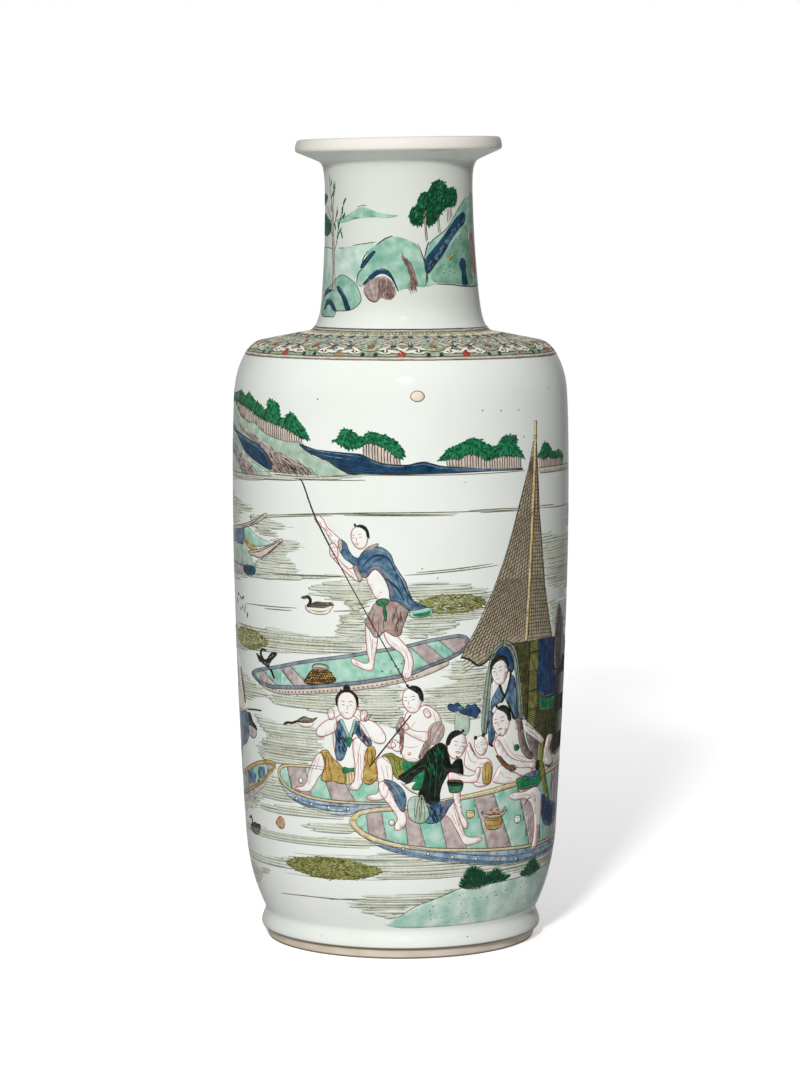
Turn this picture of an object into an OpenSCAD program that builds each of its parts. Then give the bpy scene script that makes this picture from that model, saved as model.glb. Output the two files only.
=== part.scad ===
// Rouleau vase: a tall porcelain cylinder with a sloping shoulder, a waisted neck and a dish mouth.
// It is thrown in three sections that are luted together with slip, glazed inside and out,
// fired, and then painted with enamels that stand a little proud of the glaze.
// Millimetres, +Z up, origin at the centre of the foot's resting plane, painted front towards -Y.

/* [Heights, each measured up from the one before it] */
// Height of the bare foot rim, up to the edge of the glaze
foot_rim_h = 5.2; // [3:0.1:8]
// Rise from the edge of the glaze to the widest line of the foot
foot_roll_h = 2.1; // [1.5:0.1:4]
// Rise from the widest line of the foot to the waist above it
waist_h = 8.2; // [6:0.1:11]
// Rise from the waist to the hip, where the wall becomes nearly straight
hip_h = 47; // [38:0.5:60]
// Rise from the hip to the widest line of the body
belly_h = 187.5; // [150:0.5:220]
// Rise from the widest line to where the shoulder starts to turn in
upper_wall_h = 52; // [40:0.5:65]
// Rise of the round part of the shoulder
shoulder_h = 27.5; // [22:0.5:34]
// Rise of the sloping part of the shoulder, up to the neck
slope_h = 5.5; // [3:0.1:9]
// Height of the hollow fillet between shoulder and neck
fillet_h = 11; // [8:0.1:15]
// Rise from the fillet to the narrowest line of the neck
neck_h = 65; // [50:0.5:80]
// Rise from the narrowest line to the underside of the mouth
flare_h = 17; // [13:0.1:22]
// Rise of the underside of the mouth, out to the lip
mouth_h = 5; // [3:0.1:8]
// Height of the upright edge of the lip
lip_h = 7; // [5:0.1:10]

/* [Outer radii] */
// Outside of the foot ring where it rests
foot_base_r = 73.6; // [68:0.1:76]
// Edge of the glaze on the foot
glaze_line_r = 75.4; // [73:0.1:76]
// Widest line of the foot
foot_r = 77.4; // [76:0.1:82]
// Waist between foot and body
waist_r = 75.2; // [68:0.1:76]
// Hip
hip_r = 86.3; // [82:0.1:90]
// Widest line of the body
belly_r = 92.6; // [90:0.1:100]
// Top of the wall, where the shoulder starts to turn in
shoulder_r = 91.5; // [88:0.1:99]
// Outer end of the sloping part of the shoulder
slope_r = 77.7; // [70:0.1:84]
// Inner end of the sloping part of the shoulder
neck_foot_r = 50; // [47:0.1:58]
// Top of the fillet
neck_low_r = 44.3; // [42:0.1:46]
// Narrowest line of the neck
neck_r = 40.5; // [36:0.1:42]
// Inner end of the underside of the mouth
flare_r = 43.9; // [43:0.1:48]
// Widest line of the lip
lip_r = 56.7; // [52:0.1:64]

/* [Walls and layers] */
// Thickness of the thrown wall, glaze included
wall_t = 5; // [4:0.1:7]
// Thickness of the floor, glaze included
floor_t = 8; // [6:0.1:12]
// Radius of the corner between the inner wall and the floor
floor_round = 14; // [8:0.5:20]
// Width of the face that the foot ring rests on
foot_ring_w = 7.5; // [5:0.1:11]
// Inward lean of the foot ring's inner face, as far up as the bare rim goes
foot_ring_lean = 1.5; // [0.5:0.1:3]
// Depth of the glazed hollow under the floor
recess_depth = 9; // [7:0.1:12]
// Radius of the corner inside that hollow
recess_round = 2.5; // [1:0.1:3]
// Width of the rounded top of the lip
lip_top_w = 5; // [4:0.1:6]
// Thickness of each coat of glaze
glaze_t = 0.4; // [0.2:0.05:0.8]
// Thickness of the painted enamels
enamel_t = 0.2; // [0.1:0.05:0.5]

/* [Luted seams] */
// Height of the seam between the lower and the upper body
belly_seam_z = 176; // [120:1:230]
// Thickness of a seam of slip
seam_t = 1; // [0.5:0.1:2]

/* [Painting] */
// Length round the body that a painted length is measured on, as a radius
paint_r = 90; // [85:1:95]
// Length that one unit of the painted outlines stands for
paint_unit = 1; // [0.9:0.01:1.02]
// Depth below the hip of the line that painted heights on the body are measured from
paint_drop = 49; // [45:0.5:49]
// Radius of the painted moon
moon_r = 3.4; // [2:0.1:5]

/* [Hidden] */
$fn = 96;
curve_steps = 8;
shortest_edge = 0.01;
bend_share = 0.98;
skin_margin = 1;

// Heights of the lines on the outside
foot_z = foot_rim_h + foot_roll_h;
waist_z = foot_z + waist_h;
hip_z = waist_z + hip_h;
belly_z = hip_z + belly_h;
shoulder_z = belly_z + upper_wall_h;
slope_z = shoulder_z + shoulder_h;
neck_foot_z = slope_z + slope_h;
neck_low_z = neck_foot_z + fillet_h;
neck_z = neck_low_z + neck_h;
flare_z = neck_z + flare_h;
mouth_z = flare_z + mouth_h;
top_z = mouth_z + lip_h;
crest_r = lip_r - lip_top_w / 2;
mouth_r = lip_r - lip_h * 0.16;
floor_z = recess_depth + floor_t;
neck_seam_z = neck_low_z;
foot_in_r = foot_base_r - foot_ring_w;
recess_r = foot_in_r - foot_ring_lean;

// A cubic curve from a to d, with handles b and c
function curve(a, b, c, d, steps = curve_steps) =
    [for (i = [0 : steps])
        let (t = i / steps, s = 1 - t)
        s * s * s * a + 3 * s * s * t * b + 3 * s * t * t * c + t * t * t * d];

// Several runs of points as one, without the points that neighbours share
function joined(runs) =
    [for (i = [0 : len(runs) - 1]) for (j = [(i == 0 ? 0 : 1) : len(runs[i]) - 1]) runs[i][j]];

function reversed(points) = [for (i = [len(points) - 1 : -1 : 0]) points[i]];

// The same run of points moved d to its own left
function moved_left(points, d) =
    [for (i = [0 : len(points) - 1])
        let (back = points[max(i - 1, 0)],
             ahead = points[min(i + 1, len(points) - 1)],
             along = (ahead - back) / norm(ahead - back))
        points[i] + d * [-along[1], along[0]]];

// The same, without the points that a tight bend brings nearer to the run than d
function offset_run(points, d) =
    [for (p = moved_left(points, d)) if (min([for (q = points) norm(p - q)]) > d * bend_share) p];

// Radius of a run of [radius, height] points at a height
function radius_at(points, z) = lookup(z, [for (p = points) [p[1], p[0]]]);

// The radius that lies a share of the way from one radius to another
function between(from, to, share) = from + (to - from) * share;

// Outline of the outside, from the edge of the glaze up to the crest of the lip
foot_curve = joined([
    curve([glaze_line_r, foot_rim_h], [between(foot_r, glaze_line_r, 0.3), foot_rim_h + foot_roll_h * 0.07],
          [foot_r, foot_z - foot_roll_h / 2], [foot_r, foot_z]),
    curve([foot_r, foot_z], [foot_r, foot_z + waist_h * 0.36],
          [waist_r, waist_z - waist_h * 0.33], [waist_r, waist_z])]);
wall_curve = joined([
    curve([waist_r, waist_z], [waist_r, waist_z + hip_h * 0.04],
          [between(hip_r, waist_r, 0.16), waist_z + hip_h * 0.33], [hip_r, hip_z], 2 * curve_steps),
    curve([hip_r, hip_z], [between(hip_r, belly_r, 0.35), hip_z + belly_h * 0.21],
          [belly_r, belly_z - belly_h * 0.37], [belly_r, belly_z], 2 * curve_steps),
    curve([belly_r, belly_z], [belly_r, belly_z + upper_wall_h * 0.38],
          [between(shoulder_r, belly_r, 0.7), shoulder_z - upper_wall_h * 0.2], [shoulder_r, shoulder_z]),
    curve([shoulder_r, shoulder_z], [between(shoulder_r, slope_r, 0.04), shoulder_z + shoulder_h * 0.47],
          [between(slope_r, shoulder_r, 0.5), slope_z - slope_h * 0.27], [slope_r, slope_z], 2 * curve_steps),
    curve([slope_r, slope_z], [between(slope_r, neck_foot_r, 0.2), slope_z + slope_h * 0.25],
          [between(neck_foot_r, slope_r, 0.25), neck_foot_z - slope_h * 0.28], [neck_foot_r, neck_foot_z]),
    curve([neck_foot_r, neck_foot_z], [between(neck_foot_r, neck_low_r, 0.44), neck_foot_z + fillet_h * 0.06],
          [between(neck_low_r, neck_foot_r, 0.15), neck_low_z - fillet_h * 0.47], [neck_low_r, neck_low_z]),
    curve([neck_low_r, neck_low_z], [between(neck_low_r, neck_r, 0.43), neck_low_z + neck_h * 0.15],
          [neck_r, neck_z - neck_h * 0.4], [neck_r, neck_z], 2 * curve_steps)]);
mouth_curve = joined([
    curve([neck_r, neck_z], [neck_r, neck_z + flare_h * 0.59],
          [between(flare_r, neck_r, 0.85), flare_z - flare_h * 0.09], [flare_r, flare_z]),
    curve([flare_r, flare_z], [between(flare_r, mouth_r, 0.3), flare_z + mouth_h * 0.32],
          [between(mouth_r, flare_r, 0.3), mouth_z - mouth_h * 0.3], [mouth_r, mouth_z], 4),
    curve([mouth_r, mouth_z], [between(mouth_r, lip_r, 0.8), mouth_z + lip_h * 0.06],
          [lip_r + lip_top_w * 0.02, mouth_z + lip_h * 0.17], [lip_r, mouth_z + lip_h * 0.34]),
    curve([lip_r, mouth_z + lip_h * 0.34], [lip_r - lip_top_w * 0.04, top_z - lip_h * 0.28],
          [crest_r + lip_top_w * 0.32, top_z], [crest_r, top_z])]);
outside = joined([foot_curve, wall_curve, mouth_curve]);

// Outline of the inside, from the crest of the lip down over the dish and the wall to the floor's centre
dish_r = crest_r - lip_top_w / 2;
throat_r = flare_r - wall_t / 2;
bore_r = neck_r - wall_t;
dish_curve = joined([
    curve([crest_r, top_z], [crest_r - lip_top_w * 0.2, top_z],
          [dish_r + lip_top_w * 0.2, top_z - lip_h * 0.11], [dish_r, top_z - lip_h * 0.19]),
    curve([dish_r, top_z - lip_h * 0.19], [between(dish_r, throat_r, 0.3), top_z - lip_h * 0.38],
          [between(throat_r, dish_r, 0.3), flare_z + wall_t * 1.35], [throat_r, flare_z + wall_t * 1.15]),
    curve([throat_r, flare_z + wall_t * 1.15], [between(bore_r, throat_r, 0.34), flare_z + wall_t * 0.85],
          [bore_r, neck_z + flare_h * 0.9], [bore_r, neck_z])]);
inner_wall = reversed(offset_run(wall_curve, wall_t));
corner_z = floor_z + floor_round;
corner_r = radius_at(reversed(inner_wall), corner_z);
floor_curve = joined([
    curve([corner_r, corner_z], [corner_r - floor_round * 0.2, corner_z - floor_round * 0.5],
          [corner_r - floor_round * 0.6, floor_z], [corner_r - floor_round * 1.2, floor_z]),
    [[corner_r - floor_round * 1.2, floor_z], [0, floor_z]]]);
wall_end_z = corner_z + floor_round * 0.07;
inside = concat(dish_curve,
                [for (i = [1 : len(inner_wall) - 1]) if (inner_wall[i][1] > wall_end_z) inner_wall[i]],
                floor_curve);

// Outline of the hollow under the floor, from the inner edge of the bare rim to the centre
recess = concat(
    [[recess_r, foot_rim_h]],
    curve([recess_r, recess_depth + glaze_t - recess_round], [recess_r, recess_depth + glaze_t],
          [recess_r, recess_depth + glaze_t], [recess_r - recess_round, recess_depth + glaze_t]),
    [[0, recess_depth + glaze_t]]);

// The clay itself lies one coat of glaze below the outline
clay_outside = moved_left(outside, glaze_t);
clay_inside = moved_left(inside, glaze_t);

module clay_profile() {
    polygon(concat([[foot_in_r, 0], [foot_base_r, 0]], clay_outside,
                   [for (i = [1 : len(clay_inside) - 1]) clay_inside[i]], reversed(recess)));
}

// A slice of the clay between two heights
module clay_section(low, high) {
    rotate_extrude()
        intersection() {
            clay_profile();
            translate([0, low]) square([2 * belly_r, high - low]);
        }
}

// A coat that lies between a run of points and the same run moved to its left
module coat(points, thickness) {
    rotate_extrude() polygon(concat(points, reversed(moved_left(points, thickness))));
}

module lower_body() {
    color("antiquewhite") clay_section(0, belly_seam_z);
}

module belly_seam() {
    color("wheat") clay_section(belly_seam_z, belly_seam_z + seam_t);
}

module upper_body() {
    color("antiquewhite") clay_section(belly_seam_z + seam_t, neck_seam_z);
}

module neck_seam() {
    color("wheat") clay_section(neck_seam_z, neck_seam_z + seam_t);
}

module neck() {
    color("antiquewhite") clay_section(neck_seam_z + seam_t, top_z);
}

module outer_glaze() {
    color("mintcream") coat(outside, glaze_t);
}

module inner_glaze() {
    color("mintcream") coat(inside, glaze_t);
}

module base_glaze() {
    color("mintcream") coat(recess, glaze_t);
}

// The stretch of the outside between two heights, ends included
function stretch(low, high) =
    concat([[radius_at(outside, low), low]],
           [for (p = outside) if (p[1] > low + shortest_edge && p[1] < high - shortest_edge) p],
           [[radius_at(outside, high), high]]);

// A skin of enamel on the outside between two heights
module enamel_skin(low, high) {
    coat(reversed(stretch(low, high)), enamel_t);
}

// Painted outlines are lists of [length round the body, height], with zero length at the front.
// An enamel field is its outline laid on the skin, square to the wall at the middle of the outline.
module enamel_field(outline) {
    lengths = [for (p = outline) p[0]];
    heights = [for (p = outline) p[1]];
    middle = (min(lengths) + max(lengths)) / 2;
    function degrees_at(length) = (length - middle) / paint_r * 180 / PI;
    intersection() {
        enamel_skin(min(heights) - skin_margin, max(heights) + skin_margin);
        rotate([0, 0, middle / paint_r * 180 / PI])
            rotate([90, 0, 0])
                linear_extrude(height = 2 * belly_r)
                    polygon([for (p = outline)
                             [radius_at(outside, p[1]) * sin(degrees_at(p[0])), p[1]]]);
    }
}

// Outlines on the body, above the line that painted heights start from
function on_body(points) = [for (p = points) [p[0] * paint_unit, hip_z - paint_drop + p[1] * paint_unit]];

// Outlines on the neck, above its foot
function on_neck(points) = [for (p = points) [p[0] * paint_unit, neck_foot_z + p[1] * paint_unit]];

far_shore_outline = on_body([
    [-120, 283], [-105, 276], [-90, 274], [-72, 266], [-50, 263.5], [-30, 261], [-15, 257], [0, 254.5],
    [11, 256], [25, 253], [68, 251], [68, 249.5], [0, 249], [-45, 248.5], [-80, 248], [-120, 250]]);
net_outline = on_body([
    [79, 270], [81.5, 270], [85, 240], [92, 195], [100, 157], [68, 157], [46, 148], [33, 152],
    [46, 180], [62, 220]]);
punt_outline = on_body([
    [-99, 138], [-85, 142.5], [-45, 151], [0, 160.5], [25, 165], [34, 164], [37, 159], [28, 151.5],
    [0, 142], [-30, 135], [-55, 130.5], [-78, 129.5], [-92, 133]]);
moored_boat_outline = on_body([
    [-77, 85], [-72, 89.5], [-52, 92], [-30, 92], [-8, 80], [-8, 74], [-27, 69.5], [-45, 69], [-62, 72],
    [-72, 78]]);
near_boat_outline = on_body([
    [-28, 63], [-24, 68.5], [-10, 71.5], [40, 76], [72, 79.5], [118, 84], [118, 37], [95, 34.5], [60, 37],
    [25, 42], [0, 48], [-18, 55]]);
cabin_outline = on_body([
    [46, 106], [46, 135], [52, 145], [62, 152], [112, 154], [114, 100], [98, 92], [80, 94], [68, 120],
    [58, 110]]);
bank_outline = on_body([
    [-8, 6.5], [2, 12], [10, 17.5], [25, 23], [40, 26.5], [80, 28], [112, 33], [118, 6], [70, 4.5], [20, 5]]);
weed_outlines = [for (bed = [[-40, 36.5, 29, 4.5], [27, 181, 18, 4.5], [-103, 157, 20, 4.5]])
    on_body([for (a = [0 : 30 : 330]) [bed[0] + bed[2] * cos(a), bed[1] + bed[3] * sin(a)]])];
rock_outlines = [
    on_neck([[-130, 12], [-130, 24], [-95, 25], [-72, 30], [-55, 22], [-52, 15], [-80, 11.5], [-110, 8.5]]),
    on_neck([[-54, 27], [-48, 36], [-28, 46], [-5, 51], [15, 49], [26, 38], [26, 25.5], [5, 23.5], [-10, 24],
             [-30, 19], [-42, 22]]),
    on_neck([[30, 27], [32, 48], [55, 55], [80, 66], [104, 72], [110, 40], [103, 25]])];

module shoulder_band() {
    color("darkseagreen") enamel_skin(slope_z - shoulder_h * 0.26, neck_foot_z + fillet_h * 0.34);
}

module far_shore() {
    color("steelblue") enamel_field(far_shore_outline);
}

module moon() {
    moon_length = 8.7 * paint_unit;
    moon_z = shoulder_z + 2.5 * paint_unit;
    color("peachpuff")
        intersection() {
            enamel_skin(moon_z - 2 * moon_r, moon_z + 2 * moon_r);
            rotate([0, 0, moon_length / paint_r * 180 / PI])
                translate([0, 0, moon_z])
                    rotate([90, 0, 0]) cylinder(r = moon_r, h = 2 * belly_r);
        }
}

module net() {
    color("tan") enamel_field(net_outline);
}

module punt() {
    color("mediumaquamarine") enamel_field(punt_outline);
}

module moored_boat() {
    color("mediumaquamarine") enamel_field(moored_boat_outline);
}

module near_boat() {
    color("mediumaquamarine") enamel_field(near_boat_outline);
}

module cabin() {
    color("darkolivegreen") enamel_field(cabin_outline);
}

module weed_beds() {
    color("olivedrab") for (outline = weed_outlines) enamel_field(outline);
}

module bank() {
    color("mediumaquamarine") enamel_field(bank_outline);
}

module neck_rocks() {
    color("mediumaquamarine") for (outline = rock_outlines) enamel_field(outline);
}

lower_body();
belly_seam();
upper_body();
neck_seam();
neck();
outer_glaze();
inner_glaze();
base_glaze();
shoulder_band();
far_shore();
moon();
net();
punt();
moored_boat();
near_boat();
cabin();
weed_beds();
bank();
neck_rocks();
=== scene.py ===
"""A porcelain rouleau vase, painted over the glaze with a river scene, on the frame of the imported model.

The vessel is turned from the outline of the CAD nodes. The painting is drawn on the unrolled wall. A
place there is (length, height) in millimetres: length runs round the wall, to the right, from the middle
of the front, and is measured on a circle of radius PAINT_R. Fills and strokes are thin closed solids.
"""

import math

import bpy
import numpy as np
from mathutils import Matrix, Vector
from mathutils.geometry import delaunay_2d_cdt


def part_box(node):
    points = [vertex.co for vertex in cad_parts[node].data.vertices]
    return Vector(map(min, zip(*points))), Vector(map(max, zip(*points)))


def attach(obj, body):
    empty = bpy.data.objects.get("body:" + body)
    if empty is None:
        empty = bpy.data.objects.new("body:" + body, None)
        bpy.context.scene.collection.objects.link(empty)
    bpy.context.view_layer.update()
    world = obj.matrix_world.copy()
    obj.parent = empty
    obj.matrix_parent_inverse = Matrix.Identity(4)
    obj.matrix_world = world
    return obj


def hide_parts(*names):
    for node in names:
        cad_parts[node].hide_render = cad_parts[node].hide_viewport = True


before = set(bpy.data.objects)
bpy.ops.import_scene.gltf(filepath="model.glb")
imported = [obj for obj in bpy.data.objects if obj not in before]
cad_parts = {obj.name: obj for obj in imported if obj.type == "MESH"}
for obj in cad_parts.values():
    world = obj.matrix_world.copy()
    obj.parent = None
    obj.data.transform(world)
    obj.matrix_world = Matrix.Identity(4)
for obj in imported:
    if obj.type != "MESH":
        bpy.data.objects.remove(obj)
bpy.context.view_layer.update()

MM = 0.001
PAINT_R = 90.0
GLAZE_T = 0.4

# Steps along drawn curves and turned outlines, and gaps too small to matter
CURVE_STEP = 1.2
OUTLINE_STEP = 4.0
RING_GAP = 0.12
SAME_PLACE = 1e-6
TINY = 1e-9
MERGE_GAP = 1e-5

# The photograph's camera: a long lens a little below the height of the lip, looking slightly down
FRAME_LONG_SIDE = 1067
CAMERA_F_PX = 3592.7
CAMERA_X = -0.4
CAMERA_Y = -1975.7
CAMERA_Z = 413.6
CAMERA_PITCH = 0.09624
CAMERA_CLIP = (0.05, 50.0)
SENSOR = 36.0

# Slight faults of hand throwing: the neck leans, the mouth tilts, and the wall isn't quite round
NECK_LEAN = -1.25
LEAN_FROM_Z = 345.0
LEAN_TO_Z = 420.0
MOUTH_TILT = 0.019
TILT_FROM_Z = 395.0
OUT_OF_ROUND = 0.12
ROUND_PHASE = 0.7


def add_camera():
    """The photograph's camera, from the values above."""
    data = bpy.data.cameras.new("camera")
    data.sensor_width = SENSOR
    data.lens = CAMERA_F_PX * SENSOR / FRAME_LONG_SIDE
    data.clip_start, data.clip_end = CAMERA_CLIP
    camera = bpy.data.objects.new("camera", data)
    camera.location = Vector((CAMERA_X, CAMERA_Y, CAMERA_Z)) * MM
    camera.rotation_euler = (math.pi / 2 - CAMERA_PITCH, 0, 0)
    bpy.context.scene.collection.objects.link(camera)
    bpy.context.scene.camera = camera


# Outline of the vessel

# A face of a turned node counts as outer, inner or floor by how far it faces outward or up
FACES_SIDEWAYS = 0.01
FACES_UP = 0.9


def turned_rings(node, wanted):
    """Radius and height of a turned CAD node's rings at the faces that wanted(outward, up) accepts."""
    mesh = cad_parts[node].data
    rings = set()
    for face in mesh.polygons:
        outward = Vector((face.center.x, face.center.y, 0)).normalized()
        if wanted(face.normal.dot(outward), face.normal.z):
            for index in face.vertices:
                place = mesh.vertices[index].co
                rings.add((round(place.xy.length / MM, 2), round(place.z / MM, 2)))
    return rings


def without_doubles(points):
    """The points, without those that lie closer than RING_GAP to the one before."""
    kept = [points[0]]
    for point in points[1:]:
        if math.dist(point, kept[-1]) > RING_GAP:
            kept.append(point)
    return kept


def curve(points, closed=False, step=CURVE_STEP):
    """Points on a smooth curve through those given, at most step apart. One given twice is a corner."""
    given = np.array(points, float)
    count = len(given)
    runs = []
    for i in range(count if closed else count - 1):
        a, b = given[i], given[(i + 1) % count]
        gap = np.hypot(*(b - a))
        if gap < SAME_PLACE:
            continue
        before = given[i - 1] if closed or i else a
        after = given[(i + 2) % count] if closed or i + 2 < count else b
        tangents = []
        for tangent in ((b - before) / 2, (after - a) / 2):
            length = np.hypot(*tangent)
            tangents.append(tangent * min(1.0, gap / max(length, TINY)))
        t = np.arange(max(1, math.ceil(gap / step)))[:, None]
        t = t / len(t)
        runs.append((2 * t**3 - 3 * t**2 + 1) * a + (t**3 - 2 * t**2 + t) * tangents[0]
                    + (3 * t**2 - 2 * t**3) * b + (t**3 - t**2) * tangents[1])
    if not closed:
        runs.append(given[-1:])
    return np.concatenate(runs)


class Outline:
    """A run of (radius, height) points, with running lengths and normals that point to its right."""

    def __init__(self, points):
        self.points = curve(points, step=OUTLINE_STEP)
        self.lengths = np.concatenate([[0], np.cumsum(np.hypot(*np.diff(self.points, axis=0).T))])
        along = np.gradient(self.points, self.lengths, axis=0)
        along /= np.hypot(*along.T)[:, None]
        self.normals = np.stack([along[:, 1], -along[:, 0]], 1)

    def at(self, length, lift):
        """Radius and height at a running length, lifted off the outline."""
        radius, height = (np.interp(length, self.lengths, self.points[:, k]) for k in (0, 1))
        out_r, out_z = (np.interp(length, self.lengths, self.normals[:, k]) for k in (0, 1))
        return radius + lift * out_r, height + lift * out_z

    def length_at(self, height):
        """The running length at a height, on a run that only rises."""
        return np.interp(height, self.points[:, 1], self.lengths)


outer_rings = turned_rings("outer_glaze", lambda outward, up: outward > FACES_SIDEWAYS)
outside = Outline(without_doubles(sorted(outer_rings, key=lambda ring: (ring[1], -ring[0]))))
inner_rings = turned_rings("inner_glaze", lambda outward, up: outward < -FACES_SIDEWAYS or up > FACES_UP)
inside = Outline(without_doubles(sorted(inner_rings, key=lambda ring: (-ring[1], -ring[0]))))
TOP_Z = outside.points[-1, 1]


def in_space(angle, radius, height):
    """Places in the row frame, in metres, with the faults of hand throwing."""
    reach = radius + OUT_OF_ROUND * np.sin(2 * angle + ROUND_PHASE)
    lean = NECK_LEAN * np.clip((height - LEAN_FROM_Z) / (LEAN_TO_Z - LEAN_FROM_Z), 0, 1)
    x = reach * np.sin(angle) + lean
    y = -reach * np.cos(angle)
    rise = np.clip((height - TILT_FROM_Z) / (TOP_Z - TILT_FROM_Z), 0, 1)
    z = height + MOUTH_TILT * x * rise * rise * (3 - 2 * rise)
    return np.stack(np.broadcast_arrays(x, y, z), -1) * MM


# Materials

# Heights in metres between which a look of the glaze or the clay comes in
# NECK_SHADE_Z brings in painted shade: the glaze is greyer from the neck up to the lip
NECK_SHADE_Z = (0.343, 0.356)
LIP_Z = (0.4315, 0.4345)
GLAZE_EDGE_Z = (0.0072, 0.0062)
CLAY_DARK_BOTTOM_Z = (0.0014, 0.0005)

# Sizes in millimetres of what varies over a surface, and the values between which specks and grains show
GLAZE_CLOUD = 38
GLAZE_SPECK_PITCH = 15
GLAZE_SPECK_EDGE = (0.042, 0.018)
GLAZE_WAVE = 9
CLAY_STAIN = 14
CLAY_GRIT = 0.7
ENAMEL_GRAIN = 0.9
ENAMEL_GRAIN_EDGE = (0.30, 0.24)
ENAMEL_WAVE = 1.6
ENAMEL_ROUGHNESS = 0.16


def new_material(name, roughness):
    """A Principled material with its nodes, links and a socket of object-space places."""
    material = bpy.data.materials.new(name)
    material.use_nodes = True
    nodes = material.node_tree.nodes
    shader = nodes["Principled BSDF"]
    shader.inputs["Roughness"].default_value = roughness
    places = nodes.new("ShaderNodeTexCoord").outputs["Object"]
    return material, nodes, material.node_tree.links, shader, places


def noise(nodes, links, places, size_mm, detail):
    """A noise whose lumps are about size_mm across."""
    node = nodes.new("ShaderNodeTexNoise")
    node.inputs["Scale"].default_value = 1 / (size_mm * MM)
    node.inputs["Detail"].default_value = detail
    links.new(places, node.inputs["Vector"])
    return node.outputs["Fac"]


def ramp(nodes, links, value, stops):
    """Colours by value, from (place, colour) stops."""
    node = nodes.new("ShaderNodeValToRGB")
    elements = node.color_ramp.elements
    for element, (place, colour) in zip((elements[0], elements[-1]), (stops[0], stops[-1])):
        element.position = place
        element.color = (*colour, 1)
    for place, colour in stops[1:-1]:
        elements.new(place).color = (*colour, 1)
    links.new(value, node.inputs["Fac"])
    return node.outputs["Color"]


def mixed(nodes, links, share, first, second):
    """first where share is 0 and second where it is 1; each is a socket or a colour."""
    node = nodes.new("ShaderNodeMix")
    node.data_type = "RGBA"
    links.new(share, node.inputs["Factor"])
    for value, socket in ((first, node.inputs[6]), (second, node.inputs[7])):
        if isinstance(value, tuple):
            socket.default_value = (*value, 1)
        else:
            links.new(value, socket)
    return node.outputs[2]


def band(nodes, links, value, low, high):
    """0 where value is at low or beyond, 1 at high or beyond, with a smooth step between."""
    node = nodes.new("ShaderNodeMapRange")
    node.interpolation_type = "SMOOTHSTEP"
    node.inputs["From Min"].default_value = low
    node.inputs["From Max"].default_value = high
    links.new(value, node.inputs["Value"])
    return node.outputs["Result"]


def bumped(nodes, links, shader, height, depth_mm, strength):
    """Unevenness of the surface from a height value, depth_mm deep at full strength."""
    node = nodes.new("ShaderNodeBump")
    node.inputs["Strength"].default_value = strength
    node.inputs["Distance"].default_value = depth_mm * MM
    links.new(height, node.inputs["Height"])
    links.new(node.outputs["Normal"], shader.inputs["Normal"])


def srgb(red, green, blue):
    """A linear colour from 0 to 255 sRGB values."""
    return tuple(((c / 255 + 0.055) / 1.055) ** 2.4 if c > 10 else c / 255 / 12.92
                 for c in (red, green, blue))


def glaze_material():
    """Bluish white glaze with faint mottling and specks, painted shade on the neck, warm lip and brown
    lower edge.
    """
    material, nodes, links, shader, places = new_material("porcelain_glaze", 0.09)
    clouds = noise(nodes, links, places, GLAZE_CLOUD, detail=4)
    colour = ramp(nodes, links, clouds, [(0.3, srgb(233, 238, 231)), (0.7, srgb(240, 243, 237))])
    specks = nodes.new("ShaderNodeTexVoronoi")
    specks.inputs["Scale"].default_value = 1 / (GLAZE_SPECK_PITCH * MM)
    links.new(places, specks.inputs["Vector"])
    is_speck = band(nodes, links, specks.outputs["Distance"], *GLAZE_SPECK_EDGE)
    colour = mixed(nodes, links, is_speck, colour, srgb(142, 146, 142))
    split = nodes.new("ShaderNodeSeparateXYZ")
    links.new(places, split.inputs[0])
    height = split.outputs["Z"]
    # Painted shade: the neck under the lip's overhang is given a greyer glaze colour
    painted_neck_shade = band(nodes, links, height, *NECK_SHADE_Z)
    colour = mixed(nodes, links, painted_neck_shade, colour, srgb(221, 225, 217))
    on_lip = band(nodes, links, height, *LIP_Z)
    colour = mixed(nodes, links, on_lip, colour, srgb(239, 235, 225))
    at_edge = band(nodes, links, height, *GLAZE_EDGE_Z)
    colour = mixed(nodes, links, at_edge, colour, srgb(112, 92, 66))
    links.new(colour, shader.inputs["Base Color"])
    bumped(nodes, links, shader, noise(nodes, links, places, GLAZE_WAVE, detail=2), 0.05, 0.12)
    return material


def biscuit_material():
    """Bare fired clay: buff, with fine grit and darker stains, and darker towards its very bottom."""
    material, nodes, links, shader, places = new_material("bare_clay", 0.75)
    stains = noise(nodes, links, places, CLAY_STAIN, detail=3)
    colour = ramp(nodes, links, stains, [(0.3, srgb(220, 204, 182)), (0.7, srgb(238, 226, 208))])
    split = nodes.new("ShaderNodeSeparateXYZ")
    links.new(places, split.inputs[0])
    # The clay turns darker towards its very bottom
    worn = band(nodes, links, split.outputs["Z"], *CLAY_DARK_BOTTOM_Z)
    colour = mixed(nodes, links, worn, colour, srgb(120, 110, 98))
    links.new(colour, shader.inputs["Base Color"])
    bumped(nodes, links, shader, noise(nodes, links, places, CLAY_GRIT, detail=4), 0.15, 0.5)
    return material


def enamel_material(name, thin, thick, lump_mm, speck=None):
    """An enamel that pools: a thin and a thick colour by noise, and small dark specks where given."""
    material, nodes, links, shader, places = new_material(name, ENAMEL_ROUGHNESS)
    pools = noise(nodes, links, places, lump_mm, detail=4)
    colour = ramp(nodes, links, pools, [(0.34, srgb(*thick)), (0.66, srgb(*thin))])
    if speck:
        grains = noise(nodes, links, places, ENAMEL_GRAIN, detail=2)
        is_grain = band(nodes, links, grains, *ENAMEL_GRAIN_EDGE)
        colour = mixed(nodes, links, is_grain, colour, srgb(*speck))
    links.new(colour, shader.inputs["Base Color"])
    bumped(nodes, links, shader, noise(nodes, links, places, ENAMEL_WAVE, detail=2), 0.05, 0.25)
    return material


GLAZE = glaze_material()
CLAY = biscuit_material()

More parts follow.
